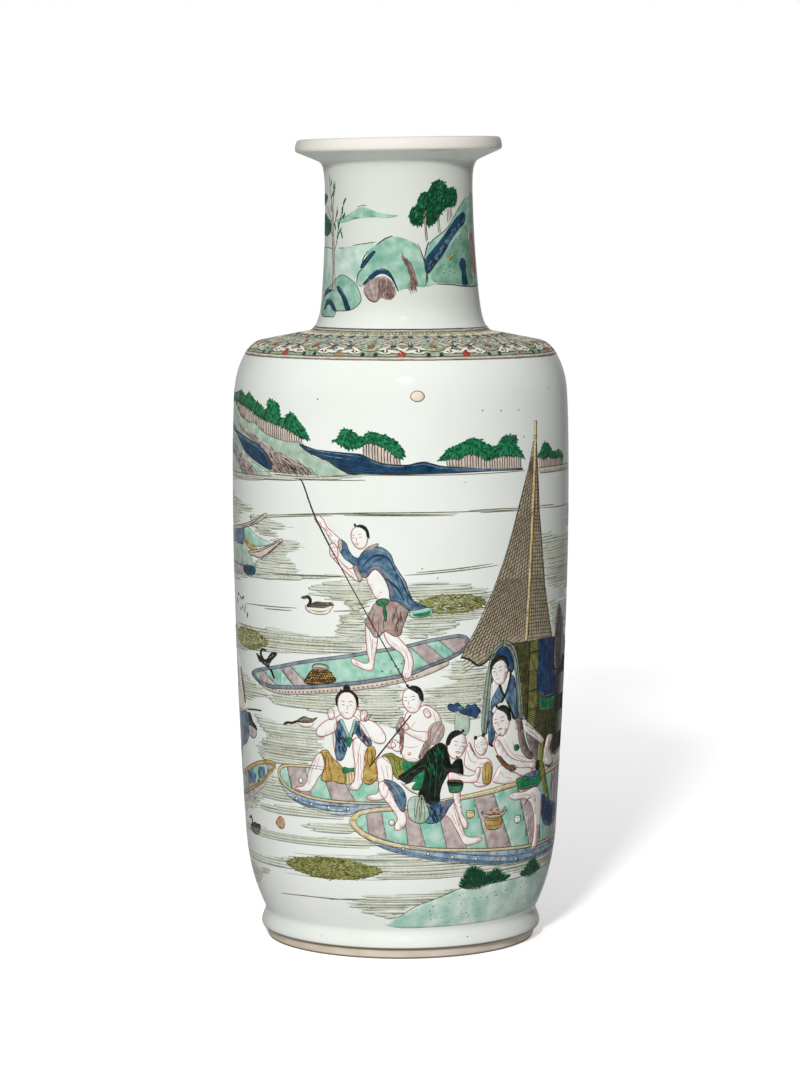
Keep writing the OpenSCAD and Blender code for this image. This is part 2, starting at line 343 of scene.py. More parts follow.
# By paint: the material's name, its colour where thin and where thick, the size of its pools in
# millimetres, and the colour of its specks
ENAMELS = {
    "green": ("green_enamel", (190, 220, 205), (130, 194, 170), 6.0, (84, 132, 112)),
    "pale_green": ("pale_green_enamel", (190, 208, 192), (150, 180, 158), 5.0, (116, 134, 112)),
    "foliage": ("foliage_enamel", (46, 146, 98), (20, 106, 66), 3.0, (12, 66, 42)),
    "blue": ("blue_enamel", (120, 148, 166), (48, 86, 120), 4.0, (30, 54, 80)),
    "deep_blue": ("deep_blue_enamel", (38, 80, 104), (12, 44, 68), 6.0, (8, 30, 46)),
    "aubergine": ("aubergine_enamel", (205, 192, 187), (167, 150, 148), 4.0, (118, 102, 98)),
    "stone": ("stone_wash", (186, 166, 158), (150, 126, 118), 3.0, (112, 88, 82)),
    "moss": ("moss_enamel", (146, 186, 164), (96, 146, 121), 7.0, (52, 98, 74)),
    "plum": ("plum_stroke", (150, 120, 112), (118, 92, 86), 3.0),
    "yellow": ("yellow_enamel", (206, 178, 106), (168, 134, 62), 4.0, (124, 94, 40)),
    "olive": ("olive_enamel", (158, 162, 84), (114, 122, 48), 3.0, (66, 70, 26)),
    "mat": ("mat_enamel", (104, 104, 54), (66, 68, 30), 3.0, (36, 36, 14)),
    "black": ("black_enamel", (34, 44, 37), (12, 18, 15), 3.0, (6, 9, 8)),
    "bark": ("bark_brown", (104, 76, 42), (66, 46, 24), 3.0),
    "ink": ("ink_line", (72, 60, 50), (40, 32, 28), 2.0),
    "brown": ("brown_line", (132, 112, 88), (96, 78, 60), 2.0),
    "red": ("iron_red_line", (206, 104, 88), (180, 72, 58), 2.0),
    "scarlet": ("iron_red_enamel", (212, 84, 60), (184, 58, 40), 2.0),
    "peach": ("peach_enamel", (242, 229, 210), (234, 216, 194), 3.0),
    "coral": ("coral_enamel", (206, 166, 138), (182, 138, 108), 2.0),
    "water": ("water_line", (150, 150, 124), (108, 108, 84), 4.0),
    "water_dark": ("water_shade", (140, 138, 108), (98, 98, 72), 4.0),
    "weed_light": ("weed_light", (176, 176, 110), (144, 146, 80), 3.0),
    "blush": ("blush_enamel", (222, 208, 194), (200, 184, 170), 4.0),
    "petal": ("petal_enamel", (247, 244, 232), (238, 230, 206), 3.0),
    "hull": ("hull_enamel", (182, 198, 208), (98, 126, 152), 3.4, (58, 80, 108)),
    "rail": ("rail_enamel", (150, 160, 166), (104, 118, 132), 4.0, (64, 78, 94)),
    "cobalt": ("cobalt_enamel", (50, 86, 130), (18, 46, 82), 4.0, (14, 34, 62)),
    "leaf": ("leaf_stroke", (18, 82, 52), (10, 54, 34), 2.0),
    "skin": ("skin_wash", (246, 245, 241), (241, 237, 231), 6.0),
    "rock": ("rock_enamel", (180, 212, 195), (120, 174, 150), 6.0, (48, 92, 70)),
    "shore": ("shore_enamel", (221, 234, 225), (158, 201, 182), 9.0, (96, 140, 120)),
    "veil": ("veil_enamel", (150, 164, 150), (108, 124, 108), 3.0, (70, 80, 66)),
    "shade": ("shade_enamel", (140, 130, 122), (98, 90, 84), 4.0, (66, 58, 52)),
    "mint": ("stippled_green", (168, 186, 160), (132, 160, 132), 3.0, (78, 98, 72)),
    "cream": ("cream_enamel", (230, 215, 174), (208, 187, 136), 3.0),
    "net": ("net_ground", (186, 174, 150), (160, 148, 124), 3.0),
    "net_line": ("net_line", (92, 80, 60), (58, 50, 38), 3.0),
    "wash": ("water_wash", (229, 234, 222), (210, 217, 201), 7.0),
    "silt": ("water_silt", (209, 210, 188), (186, 188, 163), 5.0),
}
PAINTS = {"white": GLAZE, **{paint: enamel_material(*look) for paint, look in ENAMELS.items()}}


# Turned pieces

COAT_SIDES = 240
CLAY_SIDES = 96


def finished(name, mesh, nodes=()):
    """An object of the mesh that rides on the vase and stands for the CAD nodes, which it hides."""
    piece = bpy.data.objects.new(name, mesh)
    bpy.context.scene.collection.objects.link(piece)
    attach(piece, "root")
    if nodes:
        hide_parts(*nodes)
    return piece


def turned(name, radii, heights, material, sides=COAT_SIDES, nodes=(), slot=None):
    """A closed ring whose section is the closed run of radii and heights."""
    angles = np.arange(sides) * 2 * math.pi / sides
    places = in_space(angles[:, None], np.array(radii)[None], np.array(heights)[None])
    count = len(radii)
    ring, point = np.meshgrid(np.arange(sides), np.arange(count), indexing="ij")
    ahead, after = (ring + 1) % sides, (point + 1) % count
    quads = np.stack([ring * count + point, ahead * count + point, ahead * count + after,
                      ring * count + after], -1).reshape(-1, 4)
    mesh = bpy.data.meshes.new(name)
    mesh.from_pydata(places.reshape(-1, 3).tolist(), [], quads.tolist())
    mesh.materials.append(material)
    around = np.stack([ring, ring + 1, ring + 1, ring], -1)
    across = np.stack([point, point, point + 1, point + 1], -1)
    uv = np.stack([around / sides, across / count], -1).reshape(-1)
    mesh.uv_layers.new(name="OFBake").data.foreach_set("uv", uv)
    mesh.shade_smooth()
    mesh.validate()
    return finished(name, mesh, nodes)


# Drawing on the wall

LINE = 0.42
FILL_PITCH = 3.0

# Heights over the glaze: of level 0, of one level more, and of the underside of a fill
FIRST_LIFT = 0.03
LEVEL_LIFT = 0.03
SUNK = -0.04

# How far a stroke's edges lie below its level, and the middles of a line and of a dab above it
EDGE_DROP = 0.02
LINE_CROWN = 0.05
LINE_CROWN_SHARE = 0.12
DAB_CROWN = 0.03

# The width of a line's ends as a share of its own, and the margin round a paint's strip in the UV map
LINE_TIP = 0.3
MAP_MARGIN = 0.02

# A dab's corners, and then its middle too, for one of length and width 1
DAB_CORNERS = ((0.5, 0), (0.2, 0.5), (-0.25, 0.42), (-0.5, 0), (-0.25, -0.42), (0.2, -0.5))
DAB_SHAPE = np.array([*DAB_CORNERS, (0, 0)])


def within(points, outline):
    """Which points lie inside a closed outline."""
    x, y = points[:, :1], points[:, 1:]
    ahead = np.roll(outline, -1, 0)
    rise = np.where(ahead[:, 1] == outline[:, 1], TINY, ahead[:, 1] - outline[:, 1])
    crossing = outline[:, 0] + (y - outline[:, 1]) * (ahead[:, 0] - outline[:, 0]) / rise
    crosses = (outline[:, 1] > y) != (ahead[:, 1] > y)
    return ((x < crossing) & crosses).sum(1) % 2 == 1


class Painting:
    """One painted piece: fills, lines and dabs of enamel, each at a level above the glaze.

    What is drawn is moved by origin. Lengths round the wall are measured on a circle of the given radius.
    """

    def __init__(self, name, seed=1, by_height=True, radius=PAINT_R):
        self.name = name
        self.by_height = by_height
        self.radius = radius
        self.pitch = FILL_PITCH * radius / PAINT_R
        self.origin = (0, 0)
        self.rng = np.random.default_rng(seed)
        self.paints = []
        self.flat, self.lifts, self.faces, self.worn, self.smooth = [], [], [], [], []
        self.count = 0

    def add(self, paint, flat, lifts, smooth_faces, flat_faces):
        """A closed solid in one paint, from its places on the unrolled wall and their lifts."""
        if paint not in self.paints:
            self.paints.append(paint)
        for faces, smooth in ((smooth_faces, True), (flat_faces, False)):
            self.faces.extend([index + self.count for index in face] for face in faces)
            self.worn.extend([self.paints.index(paint)] * len(faces))
            self.smooth.extend([smooth] * len(faces))
        self.flat.append(np.asarray(flat, float) + self.origin)
        self.lifts.append(np.broadcast_to(lifts, len(flat)).astype(float))
        self.count += len(flat)

    def fill(self, paint, points, level=1, edge=None, width=LINE, smooth=True, pitch=None):
        """A closed area. Its edge, if any, is a line in that paint."""
        pitch = pitch or self.pitch
        outline = curve(points if smooth else np.repeat(points, 2, 0), closed=True)
        low, high = outline.min(0), outline.max(0)
        grid = np.stack(np.meshgrid(*(np.arange(a + pitch / 2, b, pitch) for a, b in zip(low, high))), -1)
        grid = grid.reshape(-1, 2)
        inner = grid[within(grid, outline)] if len(grid) else grid
        corners = [Vector(place) for place in np.concatenate([outline, inner])]
        ring = list(range(len(outline)))
        verts, _, faces, *_ = delaunay_2d_cdt(corners, [], [ring], 1, MERGE_GAP)
        flat = np.array([tuple(v) for v in verts]).reshape(-1, 2)
        half = len(flat)
        border = set()
        for face in faces:
            for a, b in zip(face, face[1:] + face[:1]):
                if (b, a) in border:
                    border.remove((b, a))
                else:
                    border.add((a, b))
        sides = [(b, a, a + half, b + half) for a, b in sorted(border)]
        under = [tuple(index + half for index in reversed(face)) for face in faces]
        lift = FIRST_LIFT + LEVEL_LIFT * level
        self.add(paint, np.concatenate([flat, flat]), np.repeat([lift, SUNK], half), faces, sides + under)
        if edge:
            self.line(edge, points, width, level + 0.5, closed=True, smooth=smooth)

    def line(self, paint, points, width=LINE, level=2, taper=0.25, closed=False, smooth=True,
             step=CURVE_STEP):
        """A brush line through the points, thinner towards its ends."""
        path = curve(points if smooth else np.repeat(points, 2, 0), closed, step)
        if closed:
            path = np.concatenate([path, path[:1]])
        count = len(path)
        along = np.gradient(path, axis=0)
        along /= np.maximum(np.hypot(*along.T), TINY)[:, None]
        left = np.stack([-along[:, 1], along[:, 0]], 1)
        share = np.linspace(0, 1, count)
        from_end = np.minimum(share, 1 - share) / max(taper, SAME_PLACE)
        ends = 1.0 if closed else np.clip(from_end, 0, 1) ** 0.6
        half = width / 2 * (LINE_TIP + (1 - LINE_TIP) * ends)
        half = np.broadcast_to(half, count)[:, None]
        lift = FIRST_LIFT + LEVEL_LIFT * level
        flat = np.concatenate([path + left * half, path, path - left * half])
        crown = min(LINE_CROWN, width * LINE_CROWN_SHARE)
        lifts = np.repeat([lift - EDGE_DROP, lift + crown, lift - EDGE_DROP], count)
        smooth_faces, under = [], []
        for i in range(count - 1):
            a, b, c = i, i + count, i + 2 * count
            smooth_faces += [(a, b, b + 1, a + 1), (b, c, c + 1, b + 1)]
            under.append((c, a, a + 1, c + 1))
        under += [(0, 2 * count, count), (count - 1, 2 * count - 1, 3 * count - 1)]
        self.add(paint, flat, lifts, smooth_faces, under)

    def lines(self, paint, runs, width=LINE, level=2, **how):
        """Brush lines, one through each run of points."""
        for run in runs:
            self.line(paint, run, width, level, **how)

    def dabs(self, paint, places, angles, lengths, widths, level=2):
        """Leaf-shaped touches of the brush, centred on places and turned by angles in degrees."""
        places = np.array(places, float).reshape(-1, 2)
        count = len(places)
        turn = np.radians(np.broadcast_to(angles, count))
        lengths, widths = np.broadcast_to(lengths, count), np.broadcast_to(widths, count)
        x = DAB_SHAPE[:, 0] * lengths[:, None]
        y = DAB_SHAPE[:, 1] * widths[:, None]
        c, s = np.cos(turn)[:, None], np.sin(turn)[:, None]
        flat = np.stack([x * c - y * s, x * s + y * c], -1) + places[:, None]
        lift = FIRST_LIFT + LEVEL_LIFT * level
        corners = len(DAB_CORNERS)
        lifts = np.tile([lift - EDGE_DROP] * corners + [lift + DAB_CROWN], count)
        starts = range(0, (corners + 1) * count, corners + 1)
        tops = [(k + corners, k + i, k + (i + 1) % corners) for k in starts for i in range(corners)]
        under = [tuple(k + i for i in reversed(range(corners))) for k in starts]
        self.add(paint, flat.reshape(-1, 2), lifts, tops, under)

    def dot(self, paint, place, radius, level=2, edge=None, tall=1.0):
        """A round or oval spot."""
        turns = np.radians(np.arange(0, 360, 36))
        ring = np.stack([place[0] + radius * np.cos(turns), place[1] + tall * radius * np.sin(turns)], 1)
        self.fill(paint, ring, level, edge, width=min(LINE, radius * 0.4))

    def finish(self, nodes=()):
        """The piece, wrapped round the vase."""
        flat, lifts = np.concatenate(self.flat), np.concatenate(self.lifts)
        length = outside.length_at(flat[:, 1]) if self.by_height else flat[:, 1]
        places = in_space(flat[:, 0] / self.radius, *outside.at(length, lifts))
        mesh = bpy.data.meshes.new(self.name)
        mesh.from_pydata(places.tolist(), [], self.faces)
        for paint in self.paints:
            mesh.materials.append(PAINTS[paint])
        mesh.polygons.foreach_set("material_index", self.worn)
        mesh.polygons.foreach_set("use_smooth", self.smooth)
        self.lay_out(mesh, flat)
        return finished(self.name, mesh, nodes)

    def lay_out(self, mesh, flat):
        """A map of the unrolled piece, with a strip for each paint, so that layers don't share places."""
        share = (flat - flat.min(0)) / np.maximum(np.ptp(flat, axis=0), TINY)
        vertex = np.empty(len(mesh.loops), np.int32)
        mesh.loops.foreach_get("vertex_index", vertex)
        sizes = np.empty(len(mesh.polygons), np.int32)
        mesh.polygons.foreach_get("loop_total", sizes)
        strip = np.repeat(self.worn, sizes)
        uv = share[vertex]
        uv[:, 0] = (strip + MAP_MARGIN + (1 - 2 * MAP_MARGIN) * uv[:, 0]) / len(self.paints)
        mesh.uv_layers.new(name="OFBake").data.foreach_set("uv", uv.ravel())


# The vessel

# The coats are thinner than the CAD's glaze, so that they stay clear of the clay
COAT_T = GLAZE_T * 0.7
AXIS_GAP = 0.05


def shell(outline, run, thickness):
    """Radii and heights of the closed section of a coat on a run of an outline's lengths."""
    face, rear = outline.at(run, 0), outline.at(run[::-1], -thickness)
    return np.concatenate([face[0], rear[0]]), np.concatenate([face[1], rear[1]])


def build_vessel():
    """Coats of glaze and a clay neck that follow the mouth's tilt. The other clay is the CAD's own."""
    turned("outer_coat", *shell(outside, outside.lengths, COAT_T), GLAZE, nodes=["outer_glaze"],
           slot="glaze")
    to_centre = np.append(inside.lengths[:-1], inside.lengths[-1] - AXIS_GAP)
    turned("inner_coat", *shell(inside, to_centre, COAT_T), GLAZE, nodes=["inner_glaze"], slot="glaze")
    seam_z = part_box("neck")[0].z / MM
    front = outside.lengths[outside.points[:, 1] > seam_z]
    behind = inside.lengths[inside.points[:, 1] > seam_z]
    front_r, front_z = outside.at(front, -GLAZE_T)
    behind_r, behind_z = inside.at(behind[1:], -GLAZE_T)
    turned("neck_clay", np.append(front_r, behind_r), np.append(front_z, behind_z), CLAY,
           sides=CLAY_SIDES, nodes=["neck"], slot="biscuit")
    for node in ("lower_body", "upper_body", "belly_seam", "neck_seam"):
        wear(node, CLAY)
    wear("base_glaze", GLAZE)


def wear(node, material):
    """Gives a CAD node that stays in view its material."""
    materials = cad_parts[node].data.materials
    materials.clear()
    materials.append(material)


# Motifs that repeat

# Widths of lines: round small things, round skin and cloth, and of creases, folds and fingers
FINE = 0.28
SKIN_LINE = 0.44
CLOTH_LINE = 0.34
CREASE = 0.26
FOLD = 0.3
HAIRLINE = 0.22

RIPPLE_PITCH = 1.7
RIPPLE_SLOPE = 0.02
HATCH_SLOPE = 0.012
TRUNK_STEP = 1.6
WEED_RUN = 8
STUD_R = 0.9
DECK_LEVEL = 1.5


def scattered(p, outline, spacing):
    """Random places inside a closed outline, one to a square of that spacing on average."""
    shape = curve(outline, closed=True)
    low, high = shape.min(0), shape.max(0)
    places = p.rng.uniform(low, high, (int(np.prod(high - low) / spacing**2), 2))
    return places[within(places, shape)]


def brushed(p, paint, outline, spacing, angle, length, width, level=2):
    """Brush marks that fill an outline loosely, all in about one direction."""
    places = scattered(p, outline, spacing)
    count = len(places)
    p.dabs(paint, places, angle + p.rng.normal(0, 5, count), length * p.rng.uniform(0.6, 1.3, count),
           width * p.rng.uniform(0.7, 1.3, count), level)


def ripples(p, left, right, low, high):
    """Nearly level brush lines on the water between two lengths and two heights."""
    for height in np.arange(low, high + 0.01, RIPPLE_PITCH):
        a, b = (left, right) + p.rng.uniform(0, 0.3, 2) * (right - left) * (1, -1)
        lengths = np.linspace(a, b, 4)
        heights = height + RIPPLE_SLOPE * (lengths - left) + p.rng.normal(0, 0.22, 4)
        width = 0.5 * p.rng.uniform(0.5, 1.5)
        p.line("water_dark", np.stack([lengths, heights], 1), width, 0.4, taper=0.4, step=3)


def hatched(p, outline, paint, pitch, width, level):
    """Nearly level brush lines across an outline, with ragged ends."""
    shape = curve(outline, closed=True)
    ahead = np.roll(shape, -1, 0)
    for height in np.arange(shape[:, 1].min() + pitch / 2, shape[:, 1].max(), pitch):
        cut = (shape[:, 1] > height) != (ahead[:, 1] > height)
        a, b = shape[cut], ahead[cut]
        crossings = np.sort(a[:, 0] + (height - a[:, 1]) * (b[:, 0] - a[:, 0]) / (b[:, 1] - a[:, 1]))
        for left, right in zip(crossings[::2], crossings[1::2]):
            left, right = (left, right) + p.rng.normal(0, 2.2, 2)
            if right - left > 4:
                lengths = np.linspace(left, right, 4)
                heights = height + HATCH_SLOPE * (lengths - lengths.mean()) + p.rng.normal(0, 0.16, 4)
                run = np.stack([lengths, heights], 1)
                p.line(paint, run, width * p.rng.uniform(0.6, 1.4), level, taper=0.3, step=3)


def grove(p, outline, crowns, first, last, ground):
    """Trees in a row: trunks from first to last on the ground, and crowns of drooping leaves."""
    shape = curve(outline, closed=True)
    tops = np.array(crowns, float)
    base = np.array(ground, float)
    lengths = np.arange(first, last, TRUNK_STEP)
    feet = np.interp(lengths, base[:, 0], base[:, 1])
    heads = np.array([shape[np.abs(shape[:, 0] - u) < 2, 1].min() for u in lengths]) + 1.5
    if len(lengths):
        p.fill("blush", [*zip(lengths, feet), *zip(lengths[::-1], heads[::-1])], 1, smooth=False)
    for u, foot, top in zip(lengths + p.rng.normal(0, 0.15, len(lengths)), feet, heads):
        p.line("ink", [(u + 0.1, foot), (u - 0.2, (foot + top) / 2), (u, top)], 0.5, 2)
    p.fill("foliage", outline, 2)
    edge = shape[::2] + p.rng.normal(0, 0.25, shape[::2].shape)
    leaves = scattered(p, outline, 1.05)
    touches = (("foliage", edge, 2.2, 0.9, 2.3), ("leaf", leaves, 2.1, 0.36, 3))
    for paint, places, length, width, level in touches:
        away = places[:, None] - (tops - (0, 1.0))
        nearest = away[np.arange(len(places)), np.hypot(*away.T).T.argmin(1)]
        turn = np.degrees(np.arctan2(nearest[:, 1] - 0.8, nearest[:, 0]))
        turn += p.rng.normal(0, 9, len(places))
        p.dabs(paint, places, turn, length * p.rng.uniform(0.7, 1.3, len(places)), width, level)


def weeds(p, middle, half_length, half_height):
    """A bed of water weed: a green streak, with short touches that lie across it in both directions."""
    u, z = middle
    turns = np.radians(np.arange(0, 360, 30))
    lens = np.sin(turns) * np.abs(np.sin(turns)) ** 0.4
    ring = np.stack([u + half_length * np.cos(turns), z + half_height * lens], 1)
    p.fill("olive", ring, 1)
    edge = curve(ring, closed=True, step=1.6)
    lean = np.where(np.arange(len(edge)) % 2, 14, -16) + p.rng.normal(0, 6, len(edge))
    p.dabs("olive", edge, lean, 4.4, 1.3, 1.4)
    p.dabs("mat", edge + p.rng.normal(0, 0.5, edge.shape), lean, 3.6, 0.5, 1.8)
    touches = (("weed_light", 14, 1.25), ("mat", -18, 1.7), ("weed_light", -14, 1.5), ("mat", 14, 2.2))
    for paint, angle, spacing in touches:
        brushed(p, paint, ring, spacing, angle, 3.2, 0.6, 1.8)
    run = half_length + WEED_RUN
    ripples(p, u - run, u + run, z - half_height - 1, z + half_height + 1)


def between(run, first, last):
    """The stretch of a run of places between two lengths, ends included."""
    run = np.array(run, float)
    inner = run[(run[:, 0] > first) & (run[:, 0] < last)]
    ends = [(u, np.interp(u, run[:, 0], run[:, 1])) for u in (first, last)]
    return [ends[0], *map(tuple, inner), ends[1]]


def planks(p, far, near, cuts):
    """A deck between its far and near edges, cut at pairs of lengths, in green and aubergine by turns."""
    for number, ((far_a, near_a), (far_b, near_b)) in enumerate(zip(cuts, cuts[1:])):
        strip = between(far, far_a, far_b) + between(near, near_a, near_b)[::-1]
        p.fill("aubergine" if number % 2 else "green", strip, DECK_LEVEL, smooth=False)
        if number:
            p.line("ink", [strip[0], strip[-1]], FINE, DECK_LEVEL + 0.5, taper=0.1)


def partway(one, other, share):
    """A run of places part of the way from one run to another."""
    a, b = (run[np.linspace(0, len(run) - 1, 14).astype(int)] for run in (curve(one), curve(other)))
    return a + (b - a) * share


def studs(p, run, count):
    """Round stud heads along a hull."""
    path = curve(run)
    for place in path[np.linspace(2, len(path) - 3, count).astype(int)]:
        p.dot("white", place, STUD_R, 3, edge="ink")


def outlined(p, paint, outline, level):
    """An area with a fine ink outline."""
    p.fill(paint, outline, level, edge="ink", width=FINE)


def skin(p, outline, level=4):
    """An area of skin with an iron red outline."""
    p.fill("skin", outline, level, edge="red", width=SKIN_LINE)


def creases(p, runs, level, width=CREASE):
    """Iron red lines on skin."""
    p.lines("red", runs, width, level)


def cloth(p, paint, outline, folds, level=4, fold_paint="ink"):
    """A garment with its outline and fold lines."""
    p.fill(paint, outline, level, edge="ink", width=CLOTH_LINE)
    p.lines(fold_paint, folds, FOLD, level + 0.7)


def directions(angle):
    """The unit steps along an angle in degrees and to its left."""
    turn = math.radians(angle)
    return np.array((math.cos(turn), math.sin(turn))), np.array((-math.sin(turn), math.cos(turn)))


def head(p, place, tilt=0.0, facing=0, size=1.0, hair="arch", level=5, beard=False):
    """A head 12 mm tall with a calm, plain face: eyes half way up, nose and mouth on the thirds below.

    facing is -1 to the left, 0 to the front and 1 to the right; tilt is in degrees, to the left.
    """
    across, up = (step * size for step in directions(tilt))
    features = level + 1
    on_top = level + 2.4
    back = -facing or 1

    def at(points, shift=0.0):
        return [np.array(place) + (x + shift * facing) * across + y * up for x, y in points]

    turns = np.radians(np.arange(0, 360, 24))
    skin(p, at([(4.4 * math.sin(a) * (1 + 0.09 * math.cos(a)), 6.0 * math.cos(a)) for a in turns]), level)
    ear = [(back * 4.4, 0.9), (back * 5.3, 0.7), (back * 5.1, -0.9), (back * 4.3, -1.3)]
    p.line("red", at(ear), FINE, features)
    for side in (-1, 1):
        brow = [(side * 0.8, 1.5), (side * 1.9, 1.9), (side * 2.9, 1.6)]
        lid = [(side * 0.9, 0.0), (side * 1.8, 0.35), (side * 2.6, 0.05)]
        p.line("ink", at(brow, 1.2), 0.26 * size, features)
        p.line("ink", at(lid, 1.2), 0.34 * size, features)
    p.line("red", at([(0.1, 0.3), (0.5 * (facing or 1), -1.5), (-0.3, -1.8)], 1.4), 0.24 * size, features)
    p.line("scarlet", at([(-0.9, -3.3), (0, -3.1), (0.9, -3.3)], 1.3), 0.36 * size, features)
    if beard:
        p.line("ink", at([(-1.5, -3.0), (0, -2.5), (1.5, -3.0)], 1.3), 0.34 * size, features)
        p.lines("ink", [at([(x, -4.2), (x * 0.6, -5.6)], 1.3) for x in (-0.5, 0, 0.5)], 0.3 * size,
                features)
    if hair == "arch":
        arch = [(-4.7, -0.6), (-4.6, 3.2), (-2.6, 5.9), (0, 6.4), (2.6, 5.9), (4.6, 3.2), (4.7, -0.6)]
        p.line("black", at(arch), 1.25 * size, on_top, taper=0.15)
        p.fill("black", at([(-1.3, 6.6), (-1.5, 8.2), (0, 9.2), (1.5, 8.2), (1.3, 6.6)]), on_top)
    elif hair in ("crest", "cap"):
        outer = [(-1.5, 6.0), (1.2, 6.9), (4.2, 5.4), (5.4, 2.0), (5.0, -0.8)]
        inner = [(3.9, 0.1), (3.7, 2.9), (1.5, 5.1)]
        if hair == "cap":
            inner = [(3.5, -0.2), (2.9, 2.4), (0.9, 4.3)]
        p.fill("black", at([(back * x, y) for x, y in outer + inner]), on_top)
        p.dot("black", at([(-back * 1.4, 7.0)])[0], 0.7 * size, on_top)
    elif hair == "tufts":
        for x in (-2.6, 2.8):
            p.fill("black", at([(x - 1.2, 5.0), (x - 0.4, 6.9), (x + 1.1, 6.4), (x + 0.9, 4.6)]), on_top)
    elif hair == "full":
        full = [(-4.6, -1.0), (-4.9, 3.0), (-2.5, 6.6), (1.0, 7.2), (4.2, 5.2), (5.0, 1.0), (4.5, -1.5),
                (3.9, 2.2), (1.5, 4.6), (-1.2, 4.3), (-3.7, 2.3)]
        p.fill("black", at(full), on_top)


def hand(p, wrist, angle, size=1.0, level=5):
    """A small hand that points along an angle in degrees, with lines between its fingers."""
    along, left = directions(angle)

    def at(points):
        return [np.array(wrist) + size * (x * along + y * left) for x, y in points]

    skin(p, at([(-0.4, -1.1), (1.5, -1.6), (4.0, -1.2), (4.6, 0.1), (3.4, 1.4), (1.4, 1.6), (-0.4, 1.1)]),
         level)
    for y in (-0.7, 0.0, 0.7):
        p.line("red", at([(2.0, y), (4.2, y * 0.8)]), HAIRLINE, level + 0.8)


def toes(p, tip, angle):
    """The lines between the toes of a foot whose tip points along an angle in degrees."""
    along, left = directions(angle)
    for y in (-1.2, -0.4, 0.4, 1.2):
        start = np.array(tip) + y * left - 0.3 * y * y * along
        p.line("red", [start, start - 1.7 * along], HAIRLINE, 5)


# The far shore and the moon

SHORE_PLACE = (0, -0.7)
BACK_SHORE = (206, -0.7)


def low_shore(p):
    """A low headland with three groves on it."""
    headland = [(-56, 278.6), (-46, 276), (-40, 275.5), (-30, 274.8), (-24, 274.5), (-20, 274),
                (-17, 272.5), (-14, 271), (-10, 269.7), (-6, 269), (0, 268.7), (4, 268.8), (8.4, 269.9),
                (12.4, 270.3), (16, 269.3), (20, 268.2), (24, 267.6), (30, 267.2), (40, 266.2),
                (50, 265.4), (70, 264.9), (70, 264.1), (50, 264.4), (25, 264), (0, 263.6), (-20, 263.8),
                (-27, 263.5), (-30, 265), (-35, 267.5), (-38, 270), (-42, 271.2), (-46, 272.6),
                (-51, 274.6)]
    outlined(p, "deep_blue", headland, 1.5)
    p.lines("blue", [[(-51, 276.2), (-42, 274.9), (-30, 273.8), (-20, 272.8)],
                     [(-44, 273.6), (-36, 272.4), (-26, 271.4)], [(-16, 270.6), (-8, 268.2), (2, 267.6)],
                     [(6, 268.2), (12, 269), (20, 267.2), (36, 265.8)],
                     [(18, 266.6), (36, 266), (60, 265)], [(24, 265.4), (44, 265), (66, 264.6)]], 0.8, 2,
            taper=0.4)
    p.lines("cobalt", [[(-34, 269.6), (-26, 268), (-16, 266.4), (0, 265.4)],
                       [(-28, 266), (-14, 265), (8, 265.6)]], 1.1, 2, taper=0.4)
    grove(p, [(-36, 281), (-33, 282.5), (-31.5, 286), (-29.5, 287.5), (-26, 286.5), (-23, 284.5),
              (-20, 283), (-18, 285), (-15, 286), (-11, 285), (-7, 284), (-3, 281.5), (0, 278.5),
              (2.2, 274), (0, 272), (-3.5, 273.5), (-6, 276), (-10, 278), (-14, 279.5), (-18, 279.5),
              (-21, 277.5), (-24, 277), (-28, 276.5), (-32, 279)], [(-29, 287), (-15, 285.5)], -19.5, 0,
          headland[4:11])
    grove(p, [(19.5, 271), (22, 274), (25, 277), (30, 279), (34, 281), (38, 282.3), (42, 281.5),
              (46, 279), (50, 277.5), (54, 279), (56, 282), (60, 283), (65, 282.5), (66, 280.5),
              (65.5, 278), (68, 275), (71.5, 270.5), (68, 271), (62, 271.5), (55, 272), (50, 271),
              (46, 270), (43, 272), (38, 273.5), (34, 273), (30, 271), (26, 271.5), (22, 270.8)],
          [(38, 282), (60, 282.5)], 24, 70, headland[15:21])
    grove(p, [(82.5, 270.5), (85, 273.5), (88, 277.5), (92, 277), (95, 275), (98, 272.5), (102, 272),
              (105, 273), (109, 271.5), (114, 269), (112, 267.5), (106, 268.5), (100, 268), (94, 269.5),
              (88, 269)], [(89, 277), (105, 273)], 84, 114, [(80, 264.5), (126, 264)])


